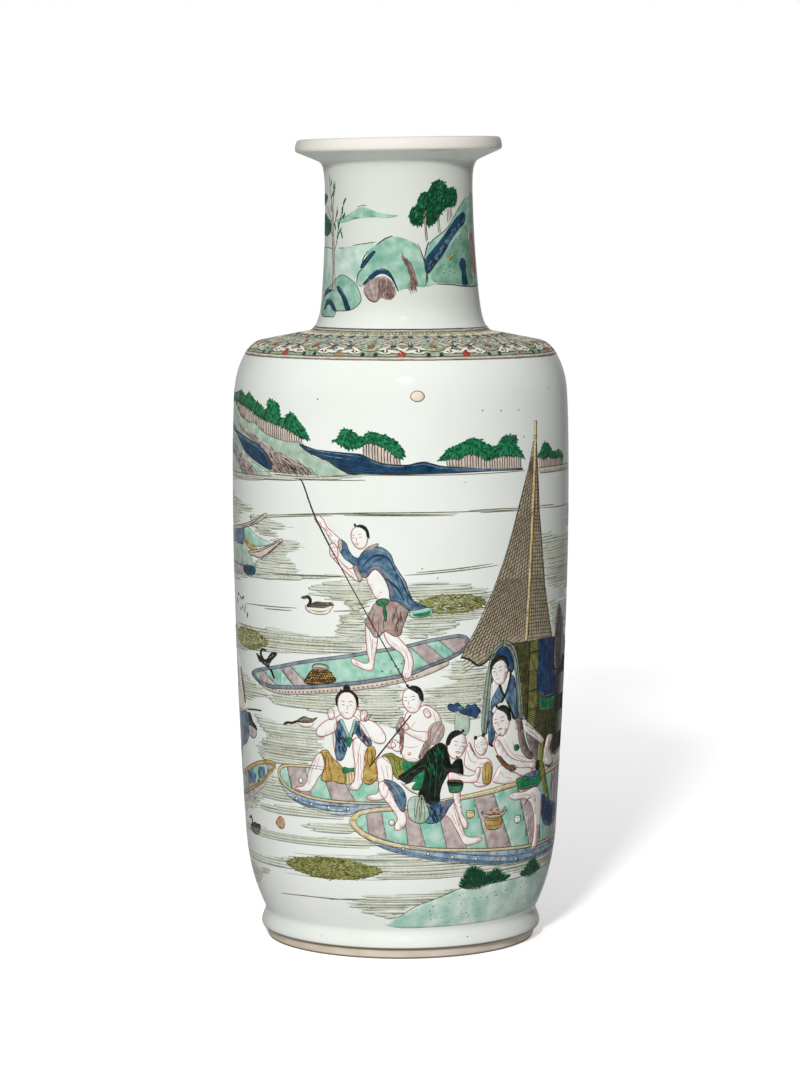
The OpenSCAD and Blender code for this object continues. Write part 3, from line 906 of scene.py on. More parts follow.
def paint_far_shore():
    """A hill at the left, low headlands in front and behind, and the moon over them."""
    p = Painting("far_shore_paint", seed=11)
    p.origin = SHORE_PLACE
    ridge = [(-126, 298), (-117, 294.5), (-112, 291), (-106, 289.5), (-99, 287.8), (-93, 288), (-88, 286),
             (-82, 283), (-76, 281.3), (-70, 280.2), (-65, 279.6), (-60, 279.4), (-57, 279.3), (-54, 279)]
    far_end = [(-215, 263), (-200, 274), (-175, 286), (-150, 295)]
    hill = far_end + ridge + [(-49, 273.5), (-45, 271.3), (-40, 270.5), (-34, 267), (-27.5, 263),
            (-40, 262.4), (-73, 262.6), (-100, 262), (-126, 262), (-215, 262)]
    p.fill("pale_green", hill, 1, edge="brown", width=FINE)
    slope = [(-113, 287), (-104, 285), (-95.6, 282.6), (-88, 280.4), (-82.7, 278.4), (-72.3, 274.2),
             (-62.9, 271.1), (-54.2, 268), (-49.3, 264), (-48, 262.6), (-70, 262.8), (-75.4, 263),
             (-78.4, 267), (-81.6, 272), (-88, 276.4), (-97, 280), (-110, 283.8)]
    p.fill("aubergine", slope, 1.5)
    brushed(p, "brown", slope, 1.5, -33, 5.0, 0.35, 2)
    brushed(p, "ink", [(-82, 274), (-70, 271), (-58, 266.6), (-52, 263), (-74, 262.8), (-78, 267)], 2.0,
            -38, 5.0, 0.35, 2.3)
    for u in np.arange(-62, -45, 1.7):
        p.line("ink", [(u, 262.6), (u - 1.2, 265), (u - 3.4, 268 - (u + 62) * 0.1)], 0.4, 2.5)
    blue_band = [(-145, 285), (-126, 285), (-121, 283.2), (-115, 282), (-108, 280.8), (-98, 279),
                 (-90, 277.2), (-83.5, 274.4), (-78.6, 270.6), (-76, 267.4), (-75.2, 265.2),
                 (-76.4, 263.6), (-81, 264.4), (-86.5, 266.4), (-92, 268), (-97, 269.8), (-102, 271.6),
                 (-108, 275), (-113, 278), (-119, 281), (-140, 283)]
    outlined(p, "deep_blue", blue_band, 2)
    p.lines("blue", [[(u, z - drop) for u, z in blue_band[2:9]] for drop in (1.0, 1.9)], 0.7, 2.5,
            taper=0.4)
    p.lines("cobalt", [[(u, z + rise) for u, z in blue_band[12:18]] for rise in (1.2, 2.4)], 0.9, 2.6,
            taper=0.4)
    lower = [(-185, 264), (-150, 277), (-126, 279), (-118, 277), (-108, 273), (-97, 268.6), (-90, 266),
             (-83, 263.8), (-76, 260.4), (-92, 260), (-126, 259.5), (-180, 259.5)]
    p.fill("pale_green", lower, 1.8, edge="brown", width=FINE)
    streak = [(-136, 276), (-124, 277.5), (-112, 272.5), (-100, 267.4), (-88, 261.4), (-96, 260.2),
              (-106, 260.2), (-114, 265), (-124, 269), (-136, 270)]
    p.fill("aubergine", streak, 2.1)
    brushed(p, "ink", streak, 1.5, -32, 5.0, 0.35, 2.5)
    grove(p, [(-174, 289), (-166, 296), (-158, 297), (-148, 301), (-140, 304), (-132, 302), (-120, 303),
              (-113, 304.5), (-108, 303.5), (-104, 302), (-100, 304), (-96, 302), (-92, 300),
              (-85, 297.5), (-81, 295.5), (-80, 300.5), (-78, 301.5), (-75, 300.5), (-71, 299),
              (-69, 292), (-66, 292), (-64, 294), (-61.5, 295), (-58, 292.4), (-54, 288), (-50, 282),
              (-50.4, 280.8), (-56, 282), (-61, 284.4), (-68.4, 287), (-76, 288.6), (-84, 290.4),
              (-90, 292), (-96, 294.2), (-104, 296.2), (-112, 297), (-126, 299), (-140, 298),
              (-158, 292)], [(-158, 297), (-140, 303), (-122, 303), (-112, 304), (-100, 303.5),
              (-90, 299), (-76, 300.5), (-62, 294.5)], -168, -53, far_end + ridge)
    low_shore(p)
    p.origin = BACK_SHORE
    low_shore(p)
    p.origin = SHORE_PLACE
    p.fill("blush", [(82, 264.6), (100, 264.3), (127, 264), (127, 261.2), (100, 261.3), (84, 261.6)], 1,
           smooth=False)
    p.lines("brown", [[(-73, 261.5), (-50, 261.2), (-28, 262.6)],
                      [(-60, 260), (-40, 259.9), (-18, 260.5)], [(-126, 257.5), (-90, 258), (-58, 259)],
                      [(-27, 263.3), (30, 263.2), (72, 263.6)], [(80, 264.4), (100, 264.2), (128, 264)],
                      [(84, 261.4), (128, 261)]], 0.4, 2.2, taper=0.1)
    p.finish(["far_shore"])
    moon = Painting("moon_paint")
    moon.dot("peach", (8.7, 304), 3.6, 1, edge="brown", tall=0.78)
    moon.finish(["moon"])


# The punt and its boatman


def draw_punt(p):
    """A flat boat with a plank deck, a narrow rail and a row of nails below it."""
    far = [(-100, 150.5), (-96, 153), (-88, 155), (-75, 157.5), (-60, 161), (-45, 164), (-30, 166.5),
           (-15, 169.5), (0, 172), (15, 175.5), (25, 177), (31, 177.5), (35, 176.5), (37, 174)]
    near = [(-100, 150.5), (-95, 147.5), (-88, 145.5), (-80, 144.5), (-70, 145.2), (-55, 146.5),
            (-40, 148.5), (-25, 150.5), (-10, 153), (5, 156), (15, 160), (25, 163.5), (33, 167.5),
            (36, 170.5), (37, 174)]
    keel = [(-92, 145.8), (-80, 142.8), (-70, 142.4), (-50, 144.2), (-30, 146.8), (-10, 150), (10, 154.8),
            (25, 161)]
    outlined(p, "blush", between(near, -90, 25) + keel[::-1], 1)
    for u, z in curve([(u, z + 1.3) for u, z in keel[1:-1]], step=2.6)[1:-1]:
        p.dot("ink", (u, z), 0.42, 3)
    outlined(p, "rail", far + near[-2:0:-1], 1.2)
    inner_far = [(u, z - 1.8) for u, z in far]
    inner_near = [(u, z + 1.9) for u, z in near]
    planks(p, inner_far, inner_near, [(-97.5, -96), (-93, -88), (-87, -75), (-72, -62), (-64, -52),
               (5, 15), (13, 23), (20, 29), (35, 35)])
    p.lines("ink", [inner_far[1:-1], inner_near[1:-1]], FINE, 2.5, taper=0.05)
    brushed(p, "foliage", [(-14, 160), (-4, 169), (6, 166), (2, 158), (-10, 156)], 3.4, 40, 0.8, 0.8, 2.3)


def paint_punt():
    """The punt, with a creel and a black bird on its deck."""
    p = Painting("punt_paint", seed=21)
    draw_punt(p)
    creel = [(-54.4, 150.4), (-52.6, 153.6), (-48.6, 157.6), (-40.4, 158), (-36.6, 155), (-35.2, 152.2),
             (-42, 150.4), (-50, 149.4)]
    p.fill("yellow", creel, 3, edge="ink", width=0.5)
    brushed(p, "bark", creel, 1.2, 20, 3.0, 0.6, 3.4)
    weave = curve(creel, closed=True)
    knots = np.stack(np.meshgrid(np.arange(-54, -35, 1.5), np.arange(150, 159, 1.3)), -1)
    knots[1::2, :, 0] += 0.75
    knots = knots.reshape(-1, 2)
    p.dabs("bark", knots[within(knots, weave)], 55, 1.5, 0.7, 3.8)
    p.dabs("ink", knots[within(knots, weave)] + (0.7, 0), -55, 1.3, 0.4, 3.9)
    outlined(p, "blush", [(-49, 157.8), (-48.4, 159.6), (-44.4, 160.4), (-40.6, 159.6), (-40, 158),
                 (-44, 157.4)], 3.9)
    p.lines("ink", [[(-49.5, 158.4), (-48, 160.4), (-44, 161), (-40, 160.3), (-38.8, 158.2)],
                    [(-49, 158.6), (-44, 158.9), (-39.5, 158.6)]], 0.5, 4)
    p.fill("black", [(-89, 160), (-87.5, 157.5), (-84, 156.3), (-80, 154), (-77.5, 150.4), (-75.8, 150.2),
                     (-78, 154.5), (-80.5, 157), (-78, 160), (-73.8, 163.4), (-74.8, 164.8), (-79, 163.8),
                     (-83, 160.2), (-85, 160), (-86.5, 161.2), (-87.5, 163), (-86.3, 164.6), (-83, 164.3),
                     (-83, 165.2), (-86.5, 165.8), (-89.2, 163.8)], 3)
    p.fill("black", [(-93.4, 162.4), (-90, 161.4), (-87.5, 158.6), (-90, 158)], 3)
    p.dabs("blush", [(-82, 157.6), (-84.5, 158), (-79.5, 161.4), (-77.5, 162.6), (-80, 155.6)],
           [20, -10, 40, 35, -60], 2.2, 0.4, 4)
    p.finish(["punt"])


def paint_boatman():
    """The figure that stands in the punt, with a long pole."""
    p = Painting("boatman_paint", seed=22)
    p.line("ink", [(-46.3, 240), (-33.8, 217.5), (3.4, 150.6)], 0.6, 4.8, taper=0.02)
    p.line("black", [(-56.2, 259), (-54.6, 258.6), (-52.8, 255.5), (-46.3, 240), (-33.8, 217.5)], 0.9, 5,
           taper=0.1)
    skin(p, [(-46.5, 239), (-44, 240.4), (-41.5, 238.6), (-39, 234.5), (-35, 231), (-31.5, 227.6),
             (-31.5, 224), (-35, 224.5), (-37.5, 228), (-40.5, 233), (-44, 235.5)])
    creases(p, [[(-46, 236.5), (-43, 237.5)], [(-45, 235.4), (-42.5, 236.2)],
                [(-40, 234.4), (-36, 229.6)]], 5.4)
    skin(p, [(-18.2, 183.6), (-18.3, 176), (-17.6, 168), (-16.6, 163.4), (-19, 162.4), (-22.5, 163.6),
             (-25.8, 164.8), (-26.4, 163), (-24, 160.9), (-20, 159.4), (-16, 158.4), (-14.4, 160),
             (-13.8, 165), (-12.6, 171), (-12.2, 178), (-14, 182)], 3.6)
    skin(p, [(-8.6, 180), (-7, 174), (-4, 171), (0, 168), (2, 164), (1.4, 160), (1, 156.8), (2.6, 154.4),
             (5, 155.4), (6, 159), (6.6, 163), (5.6, 167), (3.6, 171), (1, 174), (-1.6, 177), (-3, 180)],
         3.6)
    creases(p, [[(-16.4, 180), (-15.4, 172), (-15, 164)], [(-25, 163.8), (-22.6, 162.2)],
                [(-24.4, 162.6), (-22, 161.4)], [(-14.6, 176), (-14.8, 170)],
                [(0, 172), (3.6, 166), (4, 159)], [(-5, 174.6), (0, 170.2)], [(2.6, 157.4), (2.4, 155)],
                [(3.8, 157.6), (3.8, 155.2)]], 4.6)
    skin(p, [(-17.5, 210), (-13, 213), (-9, 211), (-6, 205), (-4.6, 198), (-6, 195.6), (-10, 195.8),
             (-13.4, 198), (-15.4, 202), (-17.2, 206)])
    p.dot("red", (-10.4, 200.4), 0.35, 5)
    cloth(p, "stone", [(-14, 194), (-11, 195.4), (-7, 195.4), (-3, 196.2), (1, 194.6), (4, 191.6),
                       (3, 187), (1, 182), (0, 178), (-3, 177), (-6, 178.6), (-8.5, 179.6), (-11, 177),
                       (-13.5, 176.4), (-16, 180), (-18.6, 184), (-17, 188), (-15.5, 191)],
          [[(-8.6, 179.8), (-9, 184), (-7.6, 190)], [(-13, 178), (-15, 184), (-13.4, 191)],
           [(-2.4, 178), (-1.2, 185), (-3, 193)], [(1, 184), (0, 189)], [(-11.4, 178.4), (-11.6, 186)]])
    brushed(p, "brown", [(-4, 191), (0, 190), (0, 182), (-4, 181)], 1.3, 80, 4.0, 0.4, 4.8)
    jacket = [(-33, 227), (-31, 228), (-28.5, 226), (-27, 222.4), (-25, 219.6), (-22, 218.6),
              (-20.4, 221), (-18, 223), (-15, 224.6), (-11, 224.6), (-8, 223.4), (-5, 220.4),
              (-3.2, 215.4), (0, 210), (2.6, 206), (3.8, 202), (5, 199), (6.8, 196), (10.4, 194),
              (15.4, 191.6), (12, 189.4), (7, 189.6), (4, 191), (1, 193.4), (-2, 195.6), (-5.4, 196.4),
              (-6, 201), (-7.6, 206), (-10, 210), (-13, 212.6), (-15.4, 211), (-17, 208.8),
              (-19.4, 208.2), (-21.4, 211), (-23.6, 213.6), (-26.4, 216), (-29.4, 218), (-32, 222)]
    cloth(p, "blue", jacket, [[(-20.4, 221), (-22, 217), (-22.8, 213.6)],
              [(-19.6, 208.4), (-17.4, 213), (-11.4, 214.6), (-5, 210)],
              [(-9.6, 210.4), (-5.4, 206), (-2, 198)], [(-3, 214), (-1.2, 205), (2.6, 197.6)],
              [(-17, 212), (-13.4, 217), (-8, 219.4)], [(4, 201), (3.4, 196), (6, 192.6)],
              [(7, 195.4), (10, 192)], [(-29.6, 224), (-27, 219)]], 4.4)
    p.lines("deep_blue", [[(-20, 214), (-14, 219.6), (-7, 219), (-3, 212)],
                [(-8, 208), (-2, 203), (2, 196)], [(0, 208), (3, 201), (6, 196)]], 1.1, 4.9, taper=0.4)
    p.lines("hull", [[(-19, 221), (-14, 223.4), (-8, 222)], [(-2.4, 212.6), (1, 207), (4, 199.4)]], 0.7,
            5, taper=0.4)
    outlined(p, "blush", [(-33, 227), (-31.2, 228.2), (-30.6, 224), (-31.8, 221.4)], 5.2)
    outlined(p, "aubergine", [(-19.4, 222), (-16, 225), (-11.4, 226.4), (-12.6, 224.4), (-16, 223)], 5.2)
    outlined(p, "green", [(4.6, 190.6), (8, 191), (15.6, 192.4), (16.4, 189), (13, 187.6), (8, 187),
                 (5, 187.6)], 5)
    p.fill("foliage", [(6, 188.8), (11, 189.6), (15.4, 190.4), (14, 188.2), (8, 187.6)], 5.4)
    cloth(p, "foliage", [(-13, 195.4), (-10, 197.2), (-6, 196.6), (-6.6, 194.4), (-8, 193), (-7.2, 189),
              (-7.8, 184.6), (-9, 189), (-9.4, 193), (-11.4, 193.4)],
          [[(-10.6, 196.4), (-8.6, 194), (-8, 188)]], 5.4)
    skin(p, [(-37.2, 219.6), (-34, 218.8), (-31, 215.6), (-27, 212.6), (-24.4, 213.4), (-22.6, 212),
             (-20.6, 208), (-21.6, 205.8), (-24, 207), (-28, 210), (-32, 214), (-35, 217)], 4.2)
    skin(p, [(-37.6, 225), (-35.4, 226), (-33.4, 223.6), (-33, 219.4), (-35, 217.8), (-37.4, 219.6)], 5)
    creases(p, [[(-37.2, 223.4), (-34, 223.6)], [(-37.2, 221.8), (-33.6, 221.8)],
                [(-36.8, 220.2), (-33.6, 220)], [(-30, 214), (-24.6, 209.8)]], 6)
    cloth(p, "aubergine", [(-25, 213.6), (-23, 214.6), (-20, 208), (-21.4, 205.8)], (), 5.2)
    head(p, (-21.4, 229.3), tilt=8, facing=-1, hair="crest", level=5)
    p.finish()


# The moored boat and the near boat


def rim(p, outer, inner, paint="cream", level=2):
    """A rail between an outer and an inner run of places, with a line on both edges."""
    p.fill(paint, outer + inner[::-1], level, smooth=False)
    p.lines("ink", [outer, inner], 0.34, level + 0.8, taper=0.05)


def paint_moored_boat():
    """The boat behind the nearest one."""
    p = Painting("moored_boat_paint", seed=31)
    far = [(-77, 98.5), (-75.5, 102), (-71, 104), (-62, 105), (-50, 105.4), (-30, 104), (-10, 100)]
    near = [(-77, 98.5), (-75, 94.5), (-70, 91.2), (-62, 88.6), (-52, 87), (-40, 86.2), (-25, 86.2),
            (-5, 86.6)]
    keel = [(-76.6, 96), (-73, 90.6), (-67, 86), (-58, 83), (-48, 81), (-38, 79.6), (-29, 80), (-20, 83),
            (-5, 85)]
    outlined(p, "hull", near[1:] + keel[::-1], 1)
    p.lines("blue", [[(-68, 87), (-56, 83.6), (-44, 82), (-30, 81.6)],
                     [(-60, 86), (-46, 84.4), (-24, 84.6)]], 0.8, 1.6, taper=0.4)
    studs(p, [(-64, 86.6), (-52, 84.2), (-40, 83.2), (-28, 83.4)], 4)
    planks(p, [(u, z - 1) for u, z in far], [(u, z + 1) for u, z in near],
           [(-75, -75), (-69, -66), (-56, -52), (-45, -39), (-35, -25), (-11, -6)])
    rim(p, far, [(-75.4, 98.5), (-74, 101), (-70.4, 102.6), (-62, 103.6), (-50, 104), (-30, 102.6),
                 (-10, 98.6)])
    rim(p, near, [(-75.4, 98.5), (-73.4, 95.4), (-69, 92.6), (-61.6, 90.2), (-52, 88.6), (-40, 87.6),
                  (-25, 87.4), (-5, 87.6)])
    p.dot("white", (-59, 96.4), 1.6, 3, edge="ink")
    p.finish(["moored_boat"])


def paint_near_boat():
    """The nearest boat, with cups and a dish of food on its deck."""
    p = Painting("near_boat_paint", seed=32)
    far = [(-29, 77), (-26.5, 80.4), (-22, 83), (-12, 84.8), (0, 85.6), (30, 89.8), (50, 92.4), (70, 95),
           (95, 97), (126, 99), (150, 99), (172, 96), (184, 90)]
    far_in = [(-25.4, 77), (-22.6, 80), (-18, 81.4), (-10, 82.6), (0, 83.2), (30, 87.4), (50, 89.6),
              (70, 92), (95, 94.4), (126, 96.4), (150, 96.4), (170, 93.6), (181, 90)]
    near = [(-29, 77), (-27, 73), (-22, 69), (-15, 66), (-5, 63.6), (5, 62.2), (15, 61), (25, 60.2),
            (38, 59.4), (52, 58.4), (66, 57.6), (80, 56.8), (100, 56.4), (126, 57), (150, 60), (172, 70),
            (184, 90)]
    near_in = [(-25.4, 77), (-23.6, 73.8), (-19.6, 71), (-13, 68.2), (-4, 65.8), (6, 64.2), (16, 62.8),
               (26, 61.9), (38, 61), (52, 60), (66, 59.2), (80, 58.4), (100, 58), (126, 58.6),
               (150, 61.8), (170, 71.6), (181, 90)]
    keel = [(-24, 70.4), (-12, 63.4), (0, 59.6), (12, 57), (24, 54.6), (36, 53), (50, 51), (64, 49.4),
            (78, 48.6), (100, 49.4), (126, 50), (150, 54), (170, 63), (183, 82)]
    outlined(p, "hull", near[2:] + keel[::-1], 1)
    p.lines("blue", [[(u, z + rise) for u, z in keel[1:]] for rise in (1.2, 2.2, 5.2)], 0.8, 1.6,
            taper=0.2)
    studs(p, [(u, z + 3.2) for u, z in keel[2:]], 14)
    planks(p, far_in, near_in, [(-25, -25), (-19, -18), (-10.5, -8), (2, 4), (8, 14), (20, 26), (32, 38),
               (41.5, 52), (54, 69), (72, 85), (89, 98), (110, 116), (125, 132), (140, 150), (156, 162),
               (168, 171), (179, 179)])
    rim(p, far, far_in)
    rim(p, near, near_in)
    p.dot("white", (-5, 76.6), 1.6, 3, edge="ink")
    for u, z, paint in ((39.6, 79.6, "cream"), (73, 73.6, "white")):
        p.fill(paint, [(u - 2.6, z + 1.6), (u, z + 2.2), (u + 2.6, z + 1.6), (u + 1.7, z - 1.7),
                       (u - 1.6, z - 1.8)], 3, edge="ink")
        p.line("ink", [(u - 2.6, z + 1.6), (u, z + 0.9), (u + 2.6, z + 1.6)], 0.3, 4)
    p.fill("yellow", [(49.6, 77.4), (60, 77.6), (60.2, 72), (58, 70.4), (55, 70), (52, 70.4), (49.8, 72)],
           3, edge="ink")
    p.lines("ink", [[(49.8, 75.8), (55, 75.2), (60, 75.8)], [(49.8, 72.8), (55, 72), (60, 72.8)]], 0.34,
            3.8)
    p.fill("blush", [(46.4, 80.2), (50, 78.6), (60, 78.6), (64, 80.4), (61.4, 77.4), (55, 76.4),
                     (49.4, 77.2)], 3.3, edge="ink")
    p.fill("coral", [(49, 79.4), (51, 80.8), (53.6, 80.4), (56, 81), (59, 80.2), (61.6, 81), (61, 78.8),
                     (55, 78.2)], 3.8)
    p.dabs("ink", [(52.6, 81), (57, 80.6), (62.6, 81.4), (47, 80.4), (55, 79.2)], [30, -20, 40, 20, 0],
           2.2, 0.7, 4.4)
    p.finish(["near_boat"])


# The crew of the moored boats


def paint_resting_man():
    """A figure in an open blue jacket, with both hands at the shoulders."""
    p = Painting("resting_man_paint", seed=41)
    skin(p, [(-44, 112.6), (-47.6, 111.6), (-50.6, 107), (-53.6, 101), (-55, 96.4), (-58, 93.4),
             (-62.6, 92.6), (-63, 91.2), (-58, 90.6), (-53, 91.4), (-49.6, 95), (-47, 99), (-44.4, 102),
             (-42, 107)], 3)
    creases(p, [[(-48, 109), (-51.6, 101), (-53, 95)], [(-46, 110.6), (-48.6, 103)],
                [(-61.6, 92.2), (-59.4, 91.4)]], 4)
    skin(p, [(-36, 131), (-33, 134), (-26, 134), (-22, 131), (-20, 126), (-22, 118), (-25, 106),
             (-33, 105), (-36, 112), (-37.4, 122)], 3)
    outlined(p, "cream", [(-31, 104.6), (-26, 104.6), (-25.6, 98.6), (-28, 97), (-30.6, 97)], 4)
    p.lines("olive", [[(-30, 104), (-30, 98)], [(-28.6, 104), (-28.4, 97.6)],
                      [(-27, 104), (-26.8, 98.4)]], 0.5, 4.8)
    cloth(p, "yellow", [(-45, 113.6), (-41, 114.6), (-39, 112), (-36, 109), (-32.4, 106), (-31, 103),
                        (-30.4, 99), (-31.4, 97), (-35, 97), (-38, 98), (-42, 97.4), (-45.4, 98.2),
                        (-44.4, 102), (-43, 106), (-43.6, 110)],
          [[(-44, 112.8), (-40, 113), (-37, 108), (-34, 104)],
           [(-41.6, 112.6), (-42.4, 106), (-41.6, 100)], [(-40.6, 112), (-40, 104), (-38, 99.6)],
           [(-39, 110.4), (-36.4, 104.6)], [(-35, 97.4), (-34.6, 101)], [(-43.4, 104), (-44.6, 99.4)],
           [(-38.6, 98), (-39.6, 101.6)]], 4)
    cloth(p, "yellow", [(-18.6, 115.6), (-17, 118), (-14.6, 117.6), (-13.4, 114.6), (-14, 111),
                        (-13, 107), (-12.6, 102.4), (-14, 99), (-17, 97), (-20, 98), (-21.6, 101.4),
                        (-20.4, 105), (-19, 108), (-19.4, 112)],
          [[(-17.6, 116.6), (-18, 110), (-16.4, 106.6)], [(-16, 117.4), (-15.6, 111), (-16.6, 106.6)],
           [(-14.8, 116), (-15.4, 109)], [(-19.6, 99.6), (-17, 99.2), (-14.6, 100.6)]], 4)
    skin(p, [(-25.6, 121), (-26, 115), (-25, 107), (-25.4, 100), (-28, 96), (-28.6, 94.2), (-24, 93.8),
             (-22.2, 95.6), (-20.8, 99), (-20, 106), (-19.6, 112), (-17.6, 117.6), (-19, 121),
             (-22, 122.6)], 4.2)
    creases(p, [[(-23.4, 116), (-23, 106), (-23.6, 98)], [(-22, 114), (-21.6, 104)],
                [(-28, 95), (-25.6, 95)]], 5)
    panels = (
        ([(-36.4, 127), (-34.6, 130.4), (-32, 131), (-31, 126), (-29, 122), (-29, 118), (-30.4, 113),
          (-32.4, 109.6), (-35.4, 110), (-36.2, 115), (-35.8, 121)],
         [[(-34.6, 128), (-34, 120), (-33.6, 112)], [(-32, 124), (-32.4, 115)]]),
        ([(-24, 131), (-21.6, 130.4), (-18, 125.6), (-15.6, 119), (-18, 117.8), (-21.6, 121),
          (-25, 124.6), (-27, 120.6), (-25.6, 125.6)],
         [[(-22, 129), (-19.4, 124), (-17.4, 119)], [(-24, 127), (-21.6, 123)]]),
    )
    for panel, folds in panels:
        cloth(p, "blue", panel, folds, 4.4)
        brushed(p, "deep_blue", np.array(panel) * 0.6 + np.mean(panel, 0) * 0.4, 1.5, -70, 4.0, 0.8, 5)
    collars = (
        [(-33.4, 131.4), (-31, 126.4), (-28.6, 121.4), (-27.8, 122.6), (-29.6, 127), (-31.6, 131.8)],
        [(-24, 131.6), (-25.2, 126.6), (-27.8, 121.4), (-28.4, 122.4), (-26.6, 127.4), (-25.2, 132)],
    )
    for collar in collars:
        outlined(p, "green", collar, 5.2)
    outlined(p, "foliage", [(-30.4, 121.6), (-28, 122), (-26, 121.2), (-27, 119), (-28, 116.8),
                 (-29.4, 119)], 5.8)
    outlined(p, "foliage", [(-32.4, 105), (-31, 106), (-28, 105.4), (-25.8, 105.8), (-25.6, 104),
                 (-28, 103.6), (-31.6, 102.4)], 5.4)
    skin(p, [(-39, 131.6), (-43.6, 129), (-47, 125.6), (-47.6, 122.8), (-45, 121.6), (-40, 123),
             (-36, 125.4), (-35, 129), (-36, 132.6)], 5)
    skin(p, [(-21.6, 131.6), (-17.6, 132), (-13.6, 130.6), (-10, 127), (-8, 123), (-9, 120), (-12, 119.4),
             (-16, 121.4), (-19.6, 124.6), (-22, 128)], 5)
    outlined(p, "aubergine", [(-19, 131), (-17, 132.6), (-15.6, 135.4), (-17.6, 134.6), (-19.6, 133)],
             6.6)
    hand(p, (-38, 132), 98, 1.15, 6)
    hand(p, (-20, 132), 84, 1.15, 6)
    head(p, (-29, 139.4), facing=0, size=1.22, hair="arch", level=6)
    toes(p, (-62.6, 91.9), 180)
    toes(p, (-28.4, 94.8), 190)
    p.finish()


def paint_piper():
    """A figure with a long pipe and a fan."""
    p = Painting("piper_paint", seed=42)
    cloth(p, "olive", [(-10, 112.6), (-5, 114.4), (-2, 112.6), (3, 111), (8, 111.4), (11, 108),
                       (8, 105.6), (2, 103), (-1, 100), (-4, 103), (-5, 108)],
          [[(-9, 112.4), (-4.4, 112.4), (-1, 108)], [(-4, 112.6), (-2.6, 106), (-1, 101.6)],
           [(-1, 111), (0, 105)], [(3, 110.4), (4, 105)], [(6, 110.6), (6.6, 106)]], 3)
    p.fill("foliage", [(0.6, 109.6), (3, 110.6), (8, 110.6), (9.6, 108), (6, 105.6), (2, 104.4)], 3.6)
    skin(p, [(-13.4, 107), (-12.4, 111), (-8.6, 112.4), (-5.4, 109), (-4.4, 103), (-5, 98), (-7, 94),
             (-8, 90.4), (-12, 88.8), (-17.6, 88.8), (-18.8, 90), (-16.6, 91.6), (-13, 92.4), (-12, 96),
             (-12.6, 101)], 3.4)
    creases(p, [[(-10.8, 108), (-9, 101), (-9.4, 94)], [(-8, 108), (-6.8, 101)],
                [(-18, 90.4), (-15.6, 90.2)], [(-17.4, 89.4), (-15.2, 89.4)]], 4.2)
    skin(p, [(10, 139), (13, 140), (17, 138.4), (20.4, 135), (21.8, 130.6), (20.6, 127), (17, 124),
             (15.4, 119), (13, 114.6), (10, 110.4), (6, 109.6), (2, 111), (0, 116), (-0.4, 122),
             (1.4, 127), (2, 133), (4, 137)], 4)
    creases(p, [[(2, 118), (6, 117.4), (10, 118.4)], [(17.4, 136), (18.6, 131), (17.6, 126)]], 5)
    toes(p, (-18.4, 90), 175)
    p.dot("red", (4.6, 114), 0.9, 5)
    p.dot("white", (4.6, 114), 0.55, 5.4)
    robes = (
        [(-2.6, 127), (-1.4, 131), (0.6, 134), (2, 131), (2, 127), (1.6, 122), (1.2, 117), (0, 114),
         (-0.6, 118), (0, 123)],
        [(9.6, 112), (11, 116), (13, 120), (16, 121), (15, 117), (13, 113.4), (11, 110.6)],
    )
    for robe in robes:
        outlined(p, "aubergine", robe, 4.4)
        brushed(p, "shade", robe, 1.0, 75, 3.0, 0.4, 5)
    skin(p, [(-4, 121.6), (-1, 120), (0.6, 117.6), (-0.4, 115.4), (-2.6, 115.4), (-5, 117.4)], 4.8)
    hand(p, (-3.4, 119), 195, 0.9, 5.4)
    skin(p, [(2.6, 130.4), (5.4, 127.4), (9, 126), (14.4, 125.4), (15, 121.6), (12.6, 120.4), (8, 122.4),
             (4, 124.4), (1.6, 126.4)], 4.8)
    hand(p, (3.4, 127.6), 130, 1.0, 5.4)
    creases(p, [[(6, 128), (6.6, 130), (8, 131.6)]], 5)
    hand(p, (15, 134), 120, 1.0, 5.4)
    p.line("ink", [(5.6, 135.2), (-17, 106.6)], 0.75, 6.6, taper=0.03)
    p.fill("aubergine", [(15, 121), (14.6, 126), (17, 130), (21, 131), (23.4, 128), (22.8, 123),
               (20, 119.4), (16.8, 118.8)], 5, edge="yellow")
    p.lines("ink", [[(16.6, 119.4), (18, 124), (21.8, 130.4)], [(16, 121), (16, 126), (17.6, 129.8)],
                    [(18.4, 119.4), (21, 124), (22.8, 128)], [(16.6, 119), (13, 112)]], 0.3, 5.4)
    head(p, (6, 142.8), tilt=6, facing=-1, size=1.15, hair="cap", level=6)
    p.finish()


